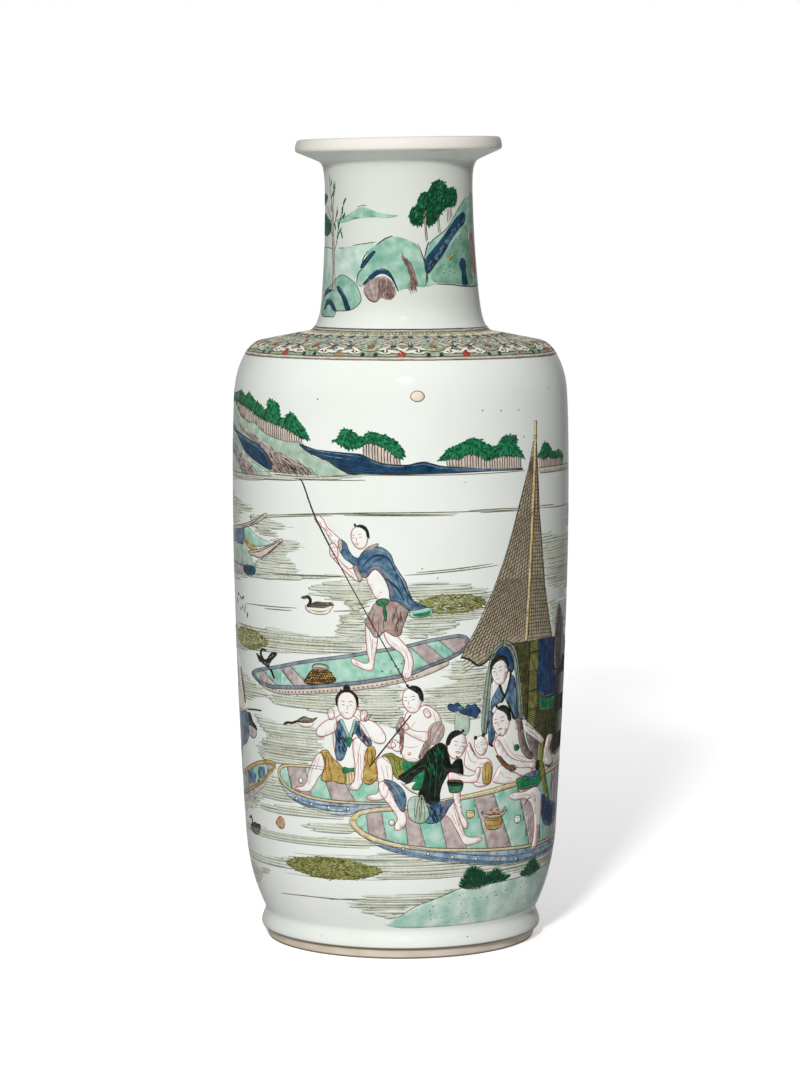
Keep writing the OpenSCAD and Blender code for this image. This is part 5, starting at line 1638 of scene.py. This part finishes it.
def paint_left_boats():
    """Two boats under a roof, one lower down, and the figure between them, half round the side."""
    p = Painting("left_boats_paint", seed=64)
    p.fill("blush", [(-150, 226), (-130, 228.6), (-112, 230.6), (-96, 233.8), (-81, 239.4),
                     (-79.4, 238.4), (-88, 234), (-98, 231), (-112, 228.6), (-150, 224)], 2, edge="ink")
    p.lines("ink", [[(-110, 229.8), (-96, 232.6), (-82, 238.4)], [(-97, 231.4), (-88, 235.6)]], 0.4, 3)
    outlined(p, "blue", [(-150, 224), (-113, 230), (-105, 229.6), (-105, 221.6), (-113, 220.4),
                 (-150, 216)], 1.6)
    outlined(p, "green", [(-105, 230), (-98, 230), (-90, 226.6), (-77, 223.4), (-85, 221.2), (-94, 220.8),
                 (-104.6, 224)], 1.6)
    p.fill("yellow", [(-105.4, 224), (-100, 223.6), (-94, 220.8), (-89, 219.8), (-95, 218.2),
                      (-102, 220)], 2)
    p.fill("blush", [(-99, 217.4), (-88, 219.4), (-78, 222.4), (-69, 226.4), (-67.2, 225.6), (-74, 221.4),
                     (-82, 216.4), (-87, 214.6), (-92, 215.2), (-98, 215.6)], 2, edge="ink")
    p.lines("ink", [[(-98, 216.8), (-86, 218.6), (-69, 225.4)], [(-86, 214.8), (-76, 219.4), (-69, 225)]],
            0.5, 3)
    outlined(p, "pale_green", [(-190, 207), (-186, 214), (-170, 218), (-140, 220), (-112, 220.4),
                 (-104, 219.8), (-98, 216), (-93, 211.4), (-92, 209.2), (-100, 208.6), (-140, 208.6)],
             2.4)
    p.fill("aubergine", [(-190, 207), (-140, 208.6), (-105, 209), (-106, 204.6), (-150, 202),
               (-180, 203)], 2)
    outlined(p, "deep_blue", [(-106.6, 209), (-92.6, 209.6), (-91.4, 208), (-93, 205.2), (-100, 204.2),
                 (-106, 205.4)], 2.6)
    outer = [(-200, 84), (-190, 88.6), (-170, 90), (-126, 93.4), (-115, 96.6), (-105, 100), (-95, 103),
             (-85, 104.8), (-79.4, 104.4), (-78, 102.4)]
    near = [(-200, 84), (-190, 77), (-170, 75), (-126, 80), (-110, 84.6), (-100, 88), (-92, 91.8),
            (-86, 96), (-80, 100), (-78, 102.4)]
    outlined(p, "aubergine", near[:-2] + [(-90, 90), (-96, 86.6), (-104, 82.6), (-126, 76), (-170, 70),
                 (-188, 73)], 1)
    planks(p, outer, near, [(-199, -199), (-170, -170), (-140, -146), (-118, -124), (-108, -102),
               (-88, -86), (-79, -79)])
    p.fill("blue", [(-114, 95), (-107, 95.6), (-100, 95), (-102, 90.4), (-108, 88.4), (-113, 88)], 2.2)
    p.fill("blue", [(-97, 98.6), (-93, 100.2), (-89, 100), (-89.4, 96.4), (-93, 93.6), (-96.4, 93)], 2.2)
    p.dot("black", (-97, 91.6), 1.1, 2.4)
    for run, drop in ((outer, -2.2), (near, 1.7)):
        rim(p, run, [(u, z + drop) for u, z in run], "yellow", 2.4)
    cloth(p, "blue", [(-152, 112), (-150, 126), (-128, 128), (-112, 128), (-104, 127), (-105, 121),
                      (-108, 115), (-114, 110), (-124, 107), (-132, 100), (-134, 94), (-154, 92)],
          [[(-148, 118), (-128, 117), (-109, 122)], [(-146, 108), (-130, 111), (-114, 115)],
           [(-144, 98), (-138, 106)]], 2.8)
    cloth(p, "petal", [(-150, 130), (-146, 150), (-138, 160), (-128, 160), (-120, 154), (-112, 140),
                       (-108, 131), (-115, 128), (-130, 126)],
          [[(-144, 150), (-138, 140), (-136, 128)], [(-132, 158), (-126, 144), (-116, 132)],
           [(-128, 150), (-124, 138)]], 3)
    outlined(p, "shade", [(-119, 152), (-116.4, 149), (-110, 134), (-112, 132.6), (-116, 141)], 3.6)
    head(p, (-135, 166), tilt=-4, facing=1, hair="crest", level=4)
    p.fill("aubergine", [(-108, 121), (-102, 121), (-97, 119.5), (-97, 117), (-101, 114.6), (-107, 116)],
           3.4, edge="ink")
    p.fill("black", [(-108, 127.5), (-104, 128), (-101, 124), (-97, 122), (-96, 119.5), (-101, 121),
                     (-107, 122)], 3.6)
    p.line("ink", [(-108, 129.6), (-100, 130.6), (-89.6, 131.2)], 0.9, 4, taper=0.05)
    p.finish()


# The near bank


def bush(p, outline, middle):
    """A low bush of spiky touches that fan out from its middle."""
    p.fill("foliage", outline, 2)
    shape = curve(outline, closed=True)
    touches = (("foliage", shape, 4.2, 0.7, 2.4), ("leaf", shape[::2], 4.4, 0.5, 2.8),
               ("leaf", scattered(p, outline, 0.62), 3.2, 0.5, 3))
    for paint, places, length, width, level in touches:
        away = places - np.array(middle)
        p.dabs(paint, places, np.degrees(np.arctan2(away[:, 1], away[:, 0] * 0.7)),
               length * p.rng.uniform(0.7, 1.3, len(places)), width, level)


def paint_bank():
    """The green bank at the foot, with three bushes."""
    p = Painting("bank_paint", seed=71)
    ridge = [(-10, 19.4), (-3, 23), (3, 26.6), (10, 30.6), (18, 33.2), (28, 36.6), (37, 39.6), (45, 39.8),
             (60, 40.2), (75, 40.6), (90, 41.2), (105, 42), (124, 43), (160, 44), (200, 41), (232, 33),
             (256, 22)]
    foot = [(256, 19), (200, 18), (124, 18.6), (90, 18.4), (60, 17.8), (20, 17.4), (0, 17.4)]
    p.fill("shore", ridge + foot, 1)
    p.line("brown", ridge[1:], 0.5, 1.8, taper=0.05)
    bushes = (
        ([(35.6, 40), (36.6, 44), (38.6, 48), (42, 50.4), (46, 48.8), (50, 46), (54, 45.6), (57, 47.2),
          (60, 46.8), (64, 44.2), (69, 42.4), (66, 41), (58, 41), (50, 40), (42, 39)], (48, 36)),
        ([(80, 42), (84, 45.4), (88, 48.2), (92, 48.8), (96, 45.8), (101, 42.6), (90, 41)], (90, 37)),
        ([(150, 43), (154, 48), (160, 51), (166, 48.4), (172, 47), (178, 43), (164, 42)], (163, 38)),
    )
    for outline, middle in bushes:
        bush(p, outline, middle)
    brushed(p, "foliage", [(8, 27), (30, 35), (60, 38), (110, 40), (110, 24), (50, 21), (14, 20)], 5.5,
            20, 0.9, 0.7, 1.6)
    p.finish(["bank"])


# The landscape round the neck. Its places have the body's lengths, drawn at the neck's own radius.

NECK_R = 41.0


def on_neck(points):
    """Places with the body's lengths, moved to where they lie on the neck."""
    return [(u * NECK_R / PAINT_R, z) for u, z in points]


def neck_tree(p):
    """A bent tree with bare twigs and a few leaves, and low growth at its left."""
    trunk = on_neck([(-89, 358), (-92, 368), (-95, 380), (-97, 391), (-99, 402), (-101.6, 402),
                     (-101, 391), (-99.6, 380), (-96.6, 368), (-95, 358)])
    p.fill("aubergine", trunk, 3, edge="ink", width=0.3)
    p.lines("ink", [on_neck(run) for run in ([(-100, 400), (-104, 407), (-99, 411), (-96, 416)],
                        [(-100, 402), (-98, 408), (-94, 413), (-93, 417)],
                        [(-104, 407), (-107, 412), (-108, 421)],
                        [(-95, 378), (-90, 384), (-86, 392), (-80, 400), (-74, 407)],
                        [(-84, 395), (-78, 398), (-74, 399)], [(-98, 392), (-92, 397), (-89, 403)],
                        [(-101, 394), (-110, 399), (-118, 403)], [(-98, 386), (-105, 390), (-112, 396)])],
            0.6, 3.4)
    p.dabs("foliage", on_neck([(-96, 414), (-99, 410), (-103, 416), (-75, 406), (-79, 401), (-76, 398),
                   (-87, 393), (-83, 390), (-90, 399), (-94, 392), (-80, 387.6), (-88, 387),
                   (-105, 402)]), p.rng.uniform(50, 110, 13), 4.6, 1.3, 3)
    growth = (
        [(-150, 393), (-134, 399), (-118, 397.4), (-104, 394), (-106, 389), (-120, 387), (-140, 388)],
        [(-146, 406), (-130, 410), (-116, 408.4), (-124, 405), (-138, 404)],
    )
    for outline in growth:
        p.fill("foliage", on_neck(outline), 2)
        brushed(p, "leaf", on_neck(outline), 0.8, 70, 2.2, 0.5, 2.8)


def paint_neck():
    """Rocks, a tree, a slope and a grove round the front of the neck."""
    p = Painting("neck_paint", seed=72, radius=NECK_R)
    p.origin = (1.0, 0)
    p.fill("shore", on_neck([(-190, 378), (-150, 381), (-100, 380.4), (-80, 380.6), (-60, 382),
                   (-40, 383.6), (-33, 384), (-40, 376), (-50, 366), (-60, 362), (-110, 358), (-150, 356),
                   (-190, 360)]), 0.8)
    p.lines("brown", [on_neck(run) for run in ([(-140, 380.6), (-112, 380.6), (-96, 380)],
                          [(-86, 380.4), (-76, 380.8)], [(-62, 382), (-44, 383.2), (-30, 384)],
                          [(-55, 402.6), (-48, 403.6), (-42, 403.4)], [(-62, 396.6), (-52, 397)])], 0.45,
            2)
    p.fill("rock", on_neck([(-92, 395.6), (-80, 397), (-70, 398.6), (-60, 400.6), (-52, 402.4),
                   (-45, 402.6), (-38, 401.6), (-28, 400), (-15, 398.8), (-3, 398.2), (-14, 396.8),
                   (-30, 397.2), (-45, 397), (-60, 396), (-72, 394.6), (-85, 394)]), 1)
    p.fill("rock", on_neck([(-124, 346), (-115, 343.4), (-100, 343.2), (-87, 343.6), (-84, 346.4),
                   (-70, 346.8), (-60, 347.6), (-52, 350), (-48, 353.4), (-54, 360), (-62, 363.4),
                   (-72, 365.6), (-80, 366), (-90, 363.6), (-100, 360), (-112, 358), (-122, 354)]), 1.4,
           edge="ink")
    band_marks = (
        [(-115, 347), (-110, 352), (-103, 353.2), (-95, 352.4), (-88, 349.4), (-84, 346.4), (-91, 346.8),
         (-98, 349.4), (-105, 349.4), (-110, 347)],
        [(-87, 360), (-80, 359.4), (-70, 354.6), (-62, 347.6), (-69, 347.4), (-76, 353.4), (-84, 357.4)],
        [(-119, 353.4), (-114, 357), (-106, 358.4), (-96, 357.6), (-104, 356), (-112, 354.6)],
    )
    for band_mark in band_marks:
        p.fill("deep_blue", on_neck(band_mark), 2)
    p.lines("blue", [on_neck(run) for run in ([(-106, 352.4), (-97, 352.2), (-91, 350)],
                         [(-84, 359.4), (-76, 357.2), (-70, 354.2)])], 0.7, 2.6, taper=0.4)
    neck_tree(p)
    p.fill("rock", on_neck([(-55, 362), (-53, 367), (-48, 369.4), (-44, 375), (-38, 380), (-30, 382.4),
                   (-20, 385.4), (-10, 387), (0, 386.4), (8, 385), (16, 383.4), (20, 381), (24, 376),
                   (28, 370), (29, 363), (26, 360), (18, 360), (8, 359), (2, 359), (-4, 358), (-10, 362),
                   (-14, 365.4), (-20, 367.4), (-28, 366.4), (-36, 364), (-44, 361), (-50, 360)]), 1.4)
    p.lines("ink", [on_neck(run) for run in ([(-31, 382), (-20, 385.6), (-10, 387.4)],
                        [(-55, 361.6), (-53, 367), (-47, 369.6)],
                        [(-48, 372), (-46, 375.6), (-40, 379.4)],
                        [(19, 383.4), (23, 379), (26, 374.6), (29, 369), (30, 361.6)],
                        [(27, 376), (30, 381), (33, 384.4)])], 0.6, 2.4)
    p.fill("deep_blue", on_neck([(-50, 369.6), (-49, 372.4), (-42, 376), (-33, 379.4), (-30.4, 378.6),
                   (-38, 374.4), (-45, 370.4)]), 2)
    p.fill("deep_blue", on_neck([(-47, 361.4), (-36, 366.6), (-24, 369.8), (-15, 368.6), (-8, 363),
                   (-4, 357.2), (-6, 358.4), (-11, 363.4), (-18, 366.4), (-26, 366.8), (-36, 363.6),
                   (-45, 360.8)]), 2.3)
    p.lines("blue", [on_neck([(-44, 373.6), (-38, 376.2), (-32, 378.2)]),
                     on_neck([(-40, 365.4), (-28, 369), (-18, 368.8)])], 0.7, 2.6, taper=0.4)
    p.fill("stone", on_neck([(-45, 357), (-44, 361), (-39, 363.6), (-30, 365), (-20, 365.6), (-13, 363.4),
                   (-8, 359.6), (-7, 356.4), (-11, 353.8), (-16, 353), (-20, 353.6), (-24, 354),
                   (-27, 353), (-31, 351.8), (-38, 353)]), 2.2)
    p.dabs("aubergine", on_neck([(-36, 360), (-33, 357)]), 70, 6.6, 5.0, 2.6)
    p.line("ink", on_neck([(-45, 357), (-38, 353), (-31, 351.8), (-27.4, 353.4), (-28, 356.6)]), 0.5, 3)
    brushed(p, "plum", on_neck([(-26, 363), (-14, 363), (-9, 358), (-12, 354.6), (-25, 355)]), 0.9, 80,
            4.0, 0.42, 3)
    stroke = on_neck([(-1, 376.6), (5, 375), (11, 371.6), (15.4, 367), (17, 362), (14, 358.6), (7, 358.4),
                      (9, 362), (8.6, 366), (5, 371.4)])
    p.fill("stone", stroke, 2)
    brushed(p, "plum", stroke, 0.9, -72, 6.0, 0.36, 2.6)
    slope = [(27, 360.4), (29, 368), (27, 375), (31, 382), (38, 385), (48, 388), (58, 391), (68, 396),
             (78, 401), (88, 405), (98, 408), (112, 410), (130, 409), (146, 398), (158, 380), (168, 362),
             (140, 360), (100, 359.6), (80, 360), (60, 361), (40, 361.4)]
    p.fill("rock", on_neck(slope), 1.4)
    p.fill("moss", on_neck([(34, 366), (46, 372), (60, 381), (80, 389), (96, 393), (106, 380),
                   (102, 361.6), (60, 362), (38, 362.6)]), 1.7)
    brushed(p, "foliage", on_neck([(40, 370), (60, 381), (90, 389), (100, 376), (96, 362), (50, 363)]),
            3.0, 30, 1.2, 0.6, 2.1)
    p.lines("ink", [on_neck(slope[3:11]), on_neck(slope[:4]), on_neck(slope[16:])], 0.5, 2.4, taper=0.1)
    p.fill("deep_blue", on_neck([(27, 369), (28.6, 375), (40, 381), (54, 387.6), (68, 394.6), (80, 398.4),
                   (90, 400), (95, 398), (92, 394), (80, 391), (66, 385.6), (54, 378.6), (42, 372.6),
                   (31, 367)]), 2.2, edge="blue")
    brushed(p, "blue", on_neck([(30, 372), (42, 377), (66, 390), (90, 396), (78, 391), (54, 380),
                    (34, 370)]), 1.3, 42, 6.0, 0.5, 2.7)
    brushed(p, "ink", on_neck([(32, 370), (44, 376), (60, 384), (64, 386), (44, 374), (34, 368.6)]), 0.9,
            40, 4.0, 0.4, 2.8)
    p.fill("deep_blue", on_neck([(76, 372), (80, 375), (87, 374.6), (90, 371), (89, 367), (92, 362),
                   (91, 360.6), (80, 360.6), (78, 363), (79.6, 367), (77, 369.6)]), 2, edge="blue")
    p.dabs("yellow", on_neck([(62, 376), (66, 376.6), (60, 375)]), [20, 0, -10], 3.4, 1.0, 2.4)
    p.fill("aubergine", on_neck([(100, 386), (106, 392), (116, 390), (124, 380), (124, 366), (112, 364),
                   (104, 367), (106, 378)]), 2)
    brushed(p, "plum", on_neck([(102, 386), (116, 389), (122, 368), (106, 368)]), 1.0, -80, 5.0, 0.5, 2.6)
    trunks = ((29, 385, 401), (30.6, 386, 401), (46, 389.6, 399), (48, 390, 399), (60, 395, 402),
              (62.4, 396, 402), (65, 397, 402), (67, 398, 402))
    for u, foot, top in trunks:
        p.line("brown", on_neck([(u + 0.8, foot - 1), (u - 0.3, (foot + top) / 2), (u, top)]), 0.5, 2,
               taper=0.05)
    crowns = on_neck([(10, 398), (13, 402), (19, 403), (21, 407), (26, 410), (34, 411), (40, 415.4),
                      (48, 417), (56, 415.4), (62, 412.4), (70, 413), (76, 411), (77.4, 407.4),
                      (74, 403.6), (66, 402.6), (58, 402), (50, 399), (44, 395.4), (36, 392.8), (31, 393),
                      (30, 400.4), (28.4, 401), (26, 394), (20, 392.6), (14, 393.6), (11, 396)])
    brushed(p, "leaf", crowns, 0.8, 60, 2.2, 0.5, 2.9)
    grove(p, crowns, on_neck([(20, 407), (34, 411), (48, 417), (70, 413)]), 0, 0, on_neck(slope[3:8]))
    p.finish(["neck_rocks"])


# The diapered band on the shoulder

BAND_LOW_Z = 322.4
BAND_HIGH_Z = 337.7
BAND_CELLS = 15
FIRST_BLOOM = 0.52
FLECKS = 100
GREEN_FLECKS = 12
PETAL_EDGE = 1.0
VEINED_FROM = 2.8
BORDER_POINTS = 90


def bloom(p, place, paint, size):
    """A round bloom with an uneven edge and a few dark touches."""
    turns = np.radians(np.arange(0, 360, 72) + p.rng.uniform(0, 72))
    ring = np.array(place) + size * 0.4 * np.stack([np.cos(turns), 1.3 * np.sin(turns)], 1)
    p.dabs(paint, ring, np.degrees(turns), size * 0.9, size * 0.7, 4.6)
    p.dabs(paint, [place], 0, size * 0.9, size * 0.9, 4.7)
    p.dabs("ink", ring[:3], np.degrees(turns[:3]), size * 0.45, size * 0.14, 5.2)


def petals(p, middle, reach, angles, length, width, paint, level=2.4):
    """Pointed petals with a thin outline that stand round a middle and follow the wall."""
    for turn in np.radians(angles):
        ray = np.array((math.cos(turn), math.sin(turn)))
        ends = [np.array(middle) + (reach + share * length) * ray for share in (-0.5, 0, 0.5)]
        p.line("ink", ends, width + PETAL_EDGE, level, taper=0.5)
        p.line(paint, ends, width, level + 0.8, taper=0.5)
        if width > VEINED_FROM:
            p.line("brown", ends[:2], 0.34, level + 1.8, taper=0.3)


def paint_shoulder_band():
    """Red blooms in green lozenges, sprays of white petals between, half blooms below, combs above."""
    p = Painting("shoulder_band_paint", seed=73, by_height=False)
    low, high = outside.length_at(BAND_LOW_Z), outside.length_at(BAND_HIGH_Z)
    deep = high - low
    girth = 2 * math.pi * PAINT_R
    cell = girth / BAND_CELLS
    lozenge = np.array([(-9, 0.26), (-4.6, 0.34), (0, 0.38), (4.6, 0.34), (9, 0.26), (4.6, 0.18),
                        (0, 0.15), (-4.6, 0.18)]) * (1, deep)
    for number in range(BAND_CELLS):
        p.origin = ((number + FIRST_BLOOM) * cell, low)
        p.fill("mint", [(0, 0), (cell, 0), (cell, deep), (0, deep)], 1, smooth=False, pitch=2.0)
        tips = np.stack([p.rng.uniform(0, cell, FLECKS), p.rng.uniform(0.1, 0.95, FLECKS) * deep], 1)
        p.dabs("foliage", tips[:GREEN_FLECKS], p.rng.uniform(0, 180, GREEN_FLECKS), 2.2, 0.7, 1.8)
        p.dabs("brown", tips[GREEN_FLECKS:], p.rng.uniform(0, 180, FLECKS - GREEN_FLECKS), 3.2, 0.5, 1.8)
        for share in (0.24, 0.76):
            petals(p, (share * cell, 0.1 * deep), 2.6, (20, 90, 160), 4.6, 1.8, "petal", 2.0)
        for share, paint in ((0.36, "cobalt"), (0.64, "deep_blue")):
            middle = (share * cell, 0.27 * deep)
            petals(p, middle, 5.8, np.array((42, 138, 212, 328)) + p.rng.normal(0, 5, 4), 7.6, 3.0,
                   "petal")
            petals(p, middle, 4.6, (0, 90, 180), 6.0, 2.0, "cream")
            p.dabs("ink", [middle] * 4, np.arange(0, 180, 45), 6.6, 0.5, 4.2)
            bloom(p, middle, paint, 2.8)
        petals(p, (cell / 2, 0.12 * deep), 5.0, (12, 168), 7.6, 3.2, "petal")
        for k, share in enumerate(np.arange(0.05, 1, 0.1)):
            petals(p, (share * cell, 0.5 * deep), 0, [48 + 84 * (k % 2) + p.rng.normal(0, 6)], 8.6, 2.5,
                   ("petal", "cream")[k % 2])
        p.line("brown", lozenge, 1.9, 2.6, closed=True)
        p.line("cream", lozenge, 1.1, 3.0, closed=True)
        p.fill("green", lozenge * (0.94, 1), 3.2)
        brushed(p, "foliage", lozenge * 0.9 + (0, 0.026 * deep), 1.2, 0, 1.0, 0.5, 3.7)
        bloom(p, (0, 0.26 * deep), "scarlet", 3.6)
        blooms = ((0.5, 0.08, ("scarlet", "coral")[number % 2], 3.4), (0.1, 0.08, "deep_blue", 1.8),
                  (0.9, 0.08, "deep_blue", 1.8), (0.0, 0.5, "deep_blue", 2.4), (0.5, 0.47, "cobalt", 2.4),
                  (0.2, 0.64, "scarlet", 2.4), (0.55, 0.66, "coral", 2.6))
        for share, height, paint, size in blooms:
            bloom(p, (share * cell, height * deep), paint, size)
        for share in (0.05, 0.36, 0.7):
            middle = (share * cell, 0.74 * deep)
            petals(p, middle, 6.0, (30, 78, 126), 8.4, 2.7, "petal")
            petals(p, middle, 6.0, (54, 102, 150), 8.4, 2.7, "cream")
            petals(p, middle, 4.4, (205, 335), 6.4, 2.2, "petal")
            bloom(p, middle, "deep_blue", 4.0)
    p.origin = (0, low)
    round_trip = np.linspace(-3, girth + 3, BORDER_POINTS)
    borders = ((0.3, "plum", 0.3), (1.4, "blush", 1.8), (1.4, "petal", 0.9), (2.5, "brown", 0.4),
               (deep - 2.4, "ink", 0.4), (deep - 1.4, "blush", 1.4), (deep - 0.4, "ink", 0.5))
    for height, paint, width in borders:
        p.line(paint, np.stack([round_trip, height + p.rng.normal(0, 0.12, BORDER_POINTS)], 1), width, 5,
               taper=0, step=3)
    p.finish(["shoulder_band"])


# The side away from the front: the same river, with one more punt


def paint_back():
    """Water, weed, ducks and a punt."""
    p = Painting("back_paint", seed=81)
    for shift, patches in (((292, 0), WATER[2:11]), ((330, 0), WATER[12:16]), ((262, 66), WATER[3:5])):
        p.origin = shift
        for patch in patches:
            flowing(p, patch)
    p.origin = (0, 0)
    for bed in (((225, 208), 20, 5), ((345, 158), 18, 4.6), ((300, 62), 24, 5)):
        weeds(p, *bed)
    duck(p, (330, 226), body="petal")
    duck(p, (262, 112), 0.95, "petal")
    p.origin = (262, 22)
    draw_punt(p)
    p.finish()


def paint_scene():
    """Every painted piece."""
    paint_shoulder_band()
    paint_neck()
    paint_far_shore()
    paint_water()
    paint_weeds()
    paint_bank()
    paint_left_boats()
    paint_birds()
    paint_net()
    paint_cabin()
    paint_punt()
    paint_boatman()
    paint_moored_boat()
    paint_near_boat()
    paint_woman()
    paint_resting_man()
    paint_piper()
    paint_host()
    paint_guest()
    paint_back()


# Stage

FLOOR_R = 1.5
FLOOR_GLOW = {"From Min": 0.1, "From Max": 1.0, "To Min": 0.40, "To Max": 0.62}

# Each light's place, what it points at, its size in metres and its power
KEY_LIGHT = ((-0.38, -2.25, 1.35), (0, 0, 0.25), 0.24, 48.5)
FILL_LIGHT = ((-0.03, -0.5, 0.03), (0, 0, 0.04), 0.2, 0.3)
GLINT_LIGHT = ((0.14, -2.4, 1.55), (0, 0, 0.3), 0.46, 1.2)

# Brightness of the room from left to right, and three places with one of their own: the axis of the
# direction, where on it that starts and where it is full, and the brightness
ROOM_SIDES = ((0.0, 0.22), (0.45, 0.06), (0.75, 0.05), (1.0, 0.09))
BEHIND = ("Y", 0.82, 0.97, 0.36)
ABOVE = ("Z", 0.3, 0.9, 0.43)
BELOW = ("Z", -0.15, -0.6, 0.52)


def add_area_light(name, place, target, size, power):
    """A round area light that points at a target."""
    data = bpy.data.lights.new(name, "AREA")
    data.shape = "DISK"
    data.size = size
    data.energy = power
    light = bpy.data.objects.new(name, data)
    light.location = place
    light.rotation_euler = (Vector(target) - Vector(place)).to_track_quat("-Z", "Y").to_euler()
    bpy.context.scene.collection.objects.link(light)
    return light


def add_floor():
    """A round white floor that glows more towards its edge, so that it runs into the white studio."""
    turns = np.radians(np.arange(0, 360, 5))
    mesh = bpy.data.meshes.new("floor")
    mesh.from_pydata([(FLOOR_R * math.cos(a), FLOOR_R * math.sin(a), 0) for a in turns], [],
                     [range(len(turns))])
    material, nodes, links, shader, places = new_material("pale_floor", 0.9)
    shader.inputs["Base Color"].default_value = (1.0, 1.0, 1.0, 1)
    shader.inputs["Specular IOR Level"].default_value = 0.0
    shader.inputs["Emission Color"].default_value = (1, 1, 1, 1)
    reach = nodes.new("ShaderNodeVectorMath")
    reach.operation = "LENGTH"
    links.new(places, reach.inputs[0])
    glow = nodes.new("ShaderNodeMapRange")
    for name, value in FLOOR_GLOW.items():
        glow.inputs[name].default_value = value
    links.new(reach.outputs["Value"], glow.inputs["Value"])
    links.new(glow.outputs["Result"], shader.inputs["Emission Strength"])
    mesh.materials.append(material)
    floor = bpy.data.objects.new("floor", mesh)
    floor.visible_diffuse = False
    floor.visible_glossy = False
    bpy.context.scene.collection.objects.link(floor)


def light_studio():
    """A dim room, brighter behind, above and below; a key and a low fill light, which don't show in the
    glaze, and one that glints there. The camera itself sees white.
    """
    world = bpy.data.worlds.new("studio")
    bpy.context.scene.world = world
    world.use_nodes = True
    nodes, links = world.node_tree.nodes, world.node_tree.links
    background = nodes["Background"]
    split = nodes.new("ShaderNodeSeparateXYZ")
    links.new(nodes.new("ShaderNodeTexCoord").outputs["Generated"], split.inputs[0])
    from_left = band(nodes, links, split.outputs["X"], -1, 1)
    light = ramp(nodes, links, from_left, [(place, (bright,) * 3) for place, bright in ROOM_SIDES])
    for axis, start, end, bright in (BEHIND, ABOVE, BELOW):
        share = band(nodes, links, split.outputs[axis], start, end)
        light = mixed(nodes, links, share, light, (bright,) * 3)
    seen = nodes.new("ShaderNodeLightPath").outputs["Is Camera Ray"]
    links.new(mixed(nodes, links, seen, light, (1.0, 1.0, 1.0)), background.inputs["Color"])
    key = add_area_light("key", *KEY_LIGHT)
    key.visible_glossy = False
    fill = add_area_light("fill", *FILL_LIGHT)
    fill.visible_glossy = False
    fill.visible_camera = False
    add_area_light("glint", *GLINT_LIGHT)
    bpy.context.scene.view_settings.view_transform = "Standard"


add_camera()
build_vessel()
paint_scene()
add_floor()
light_studio()
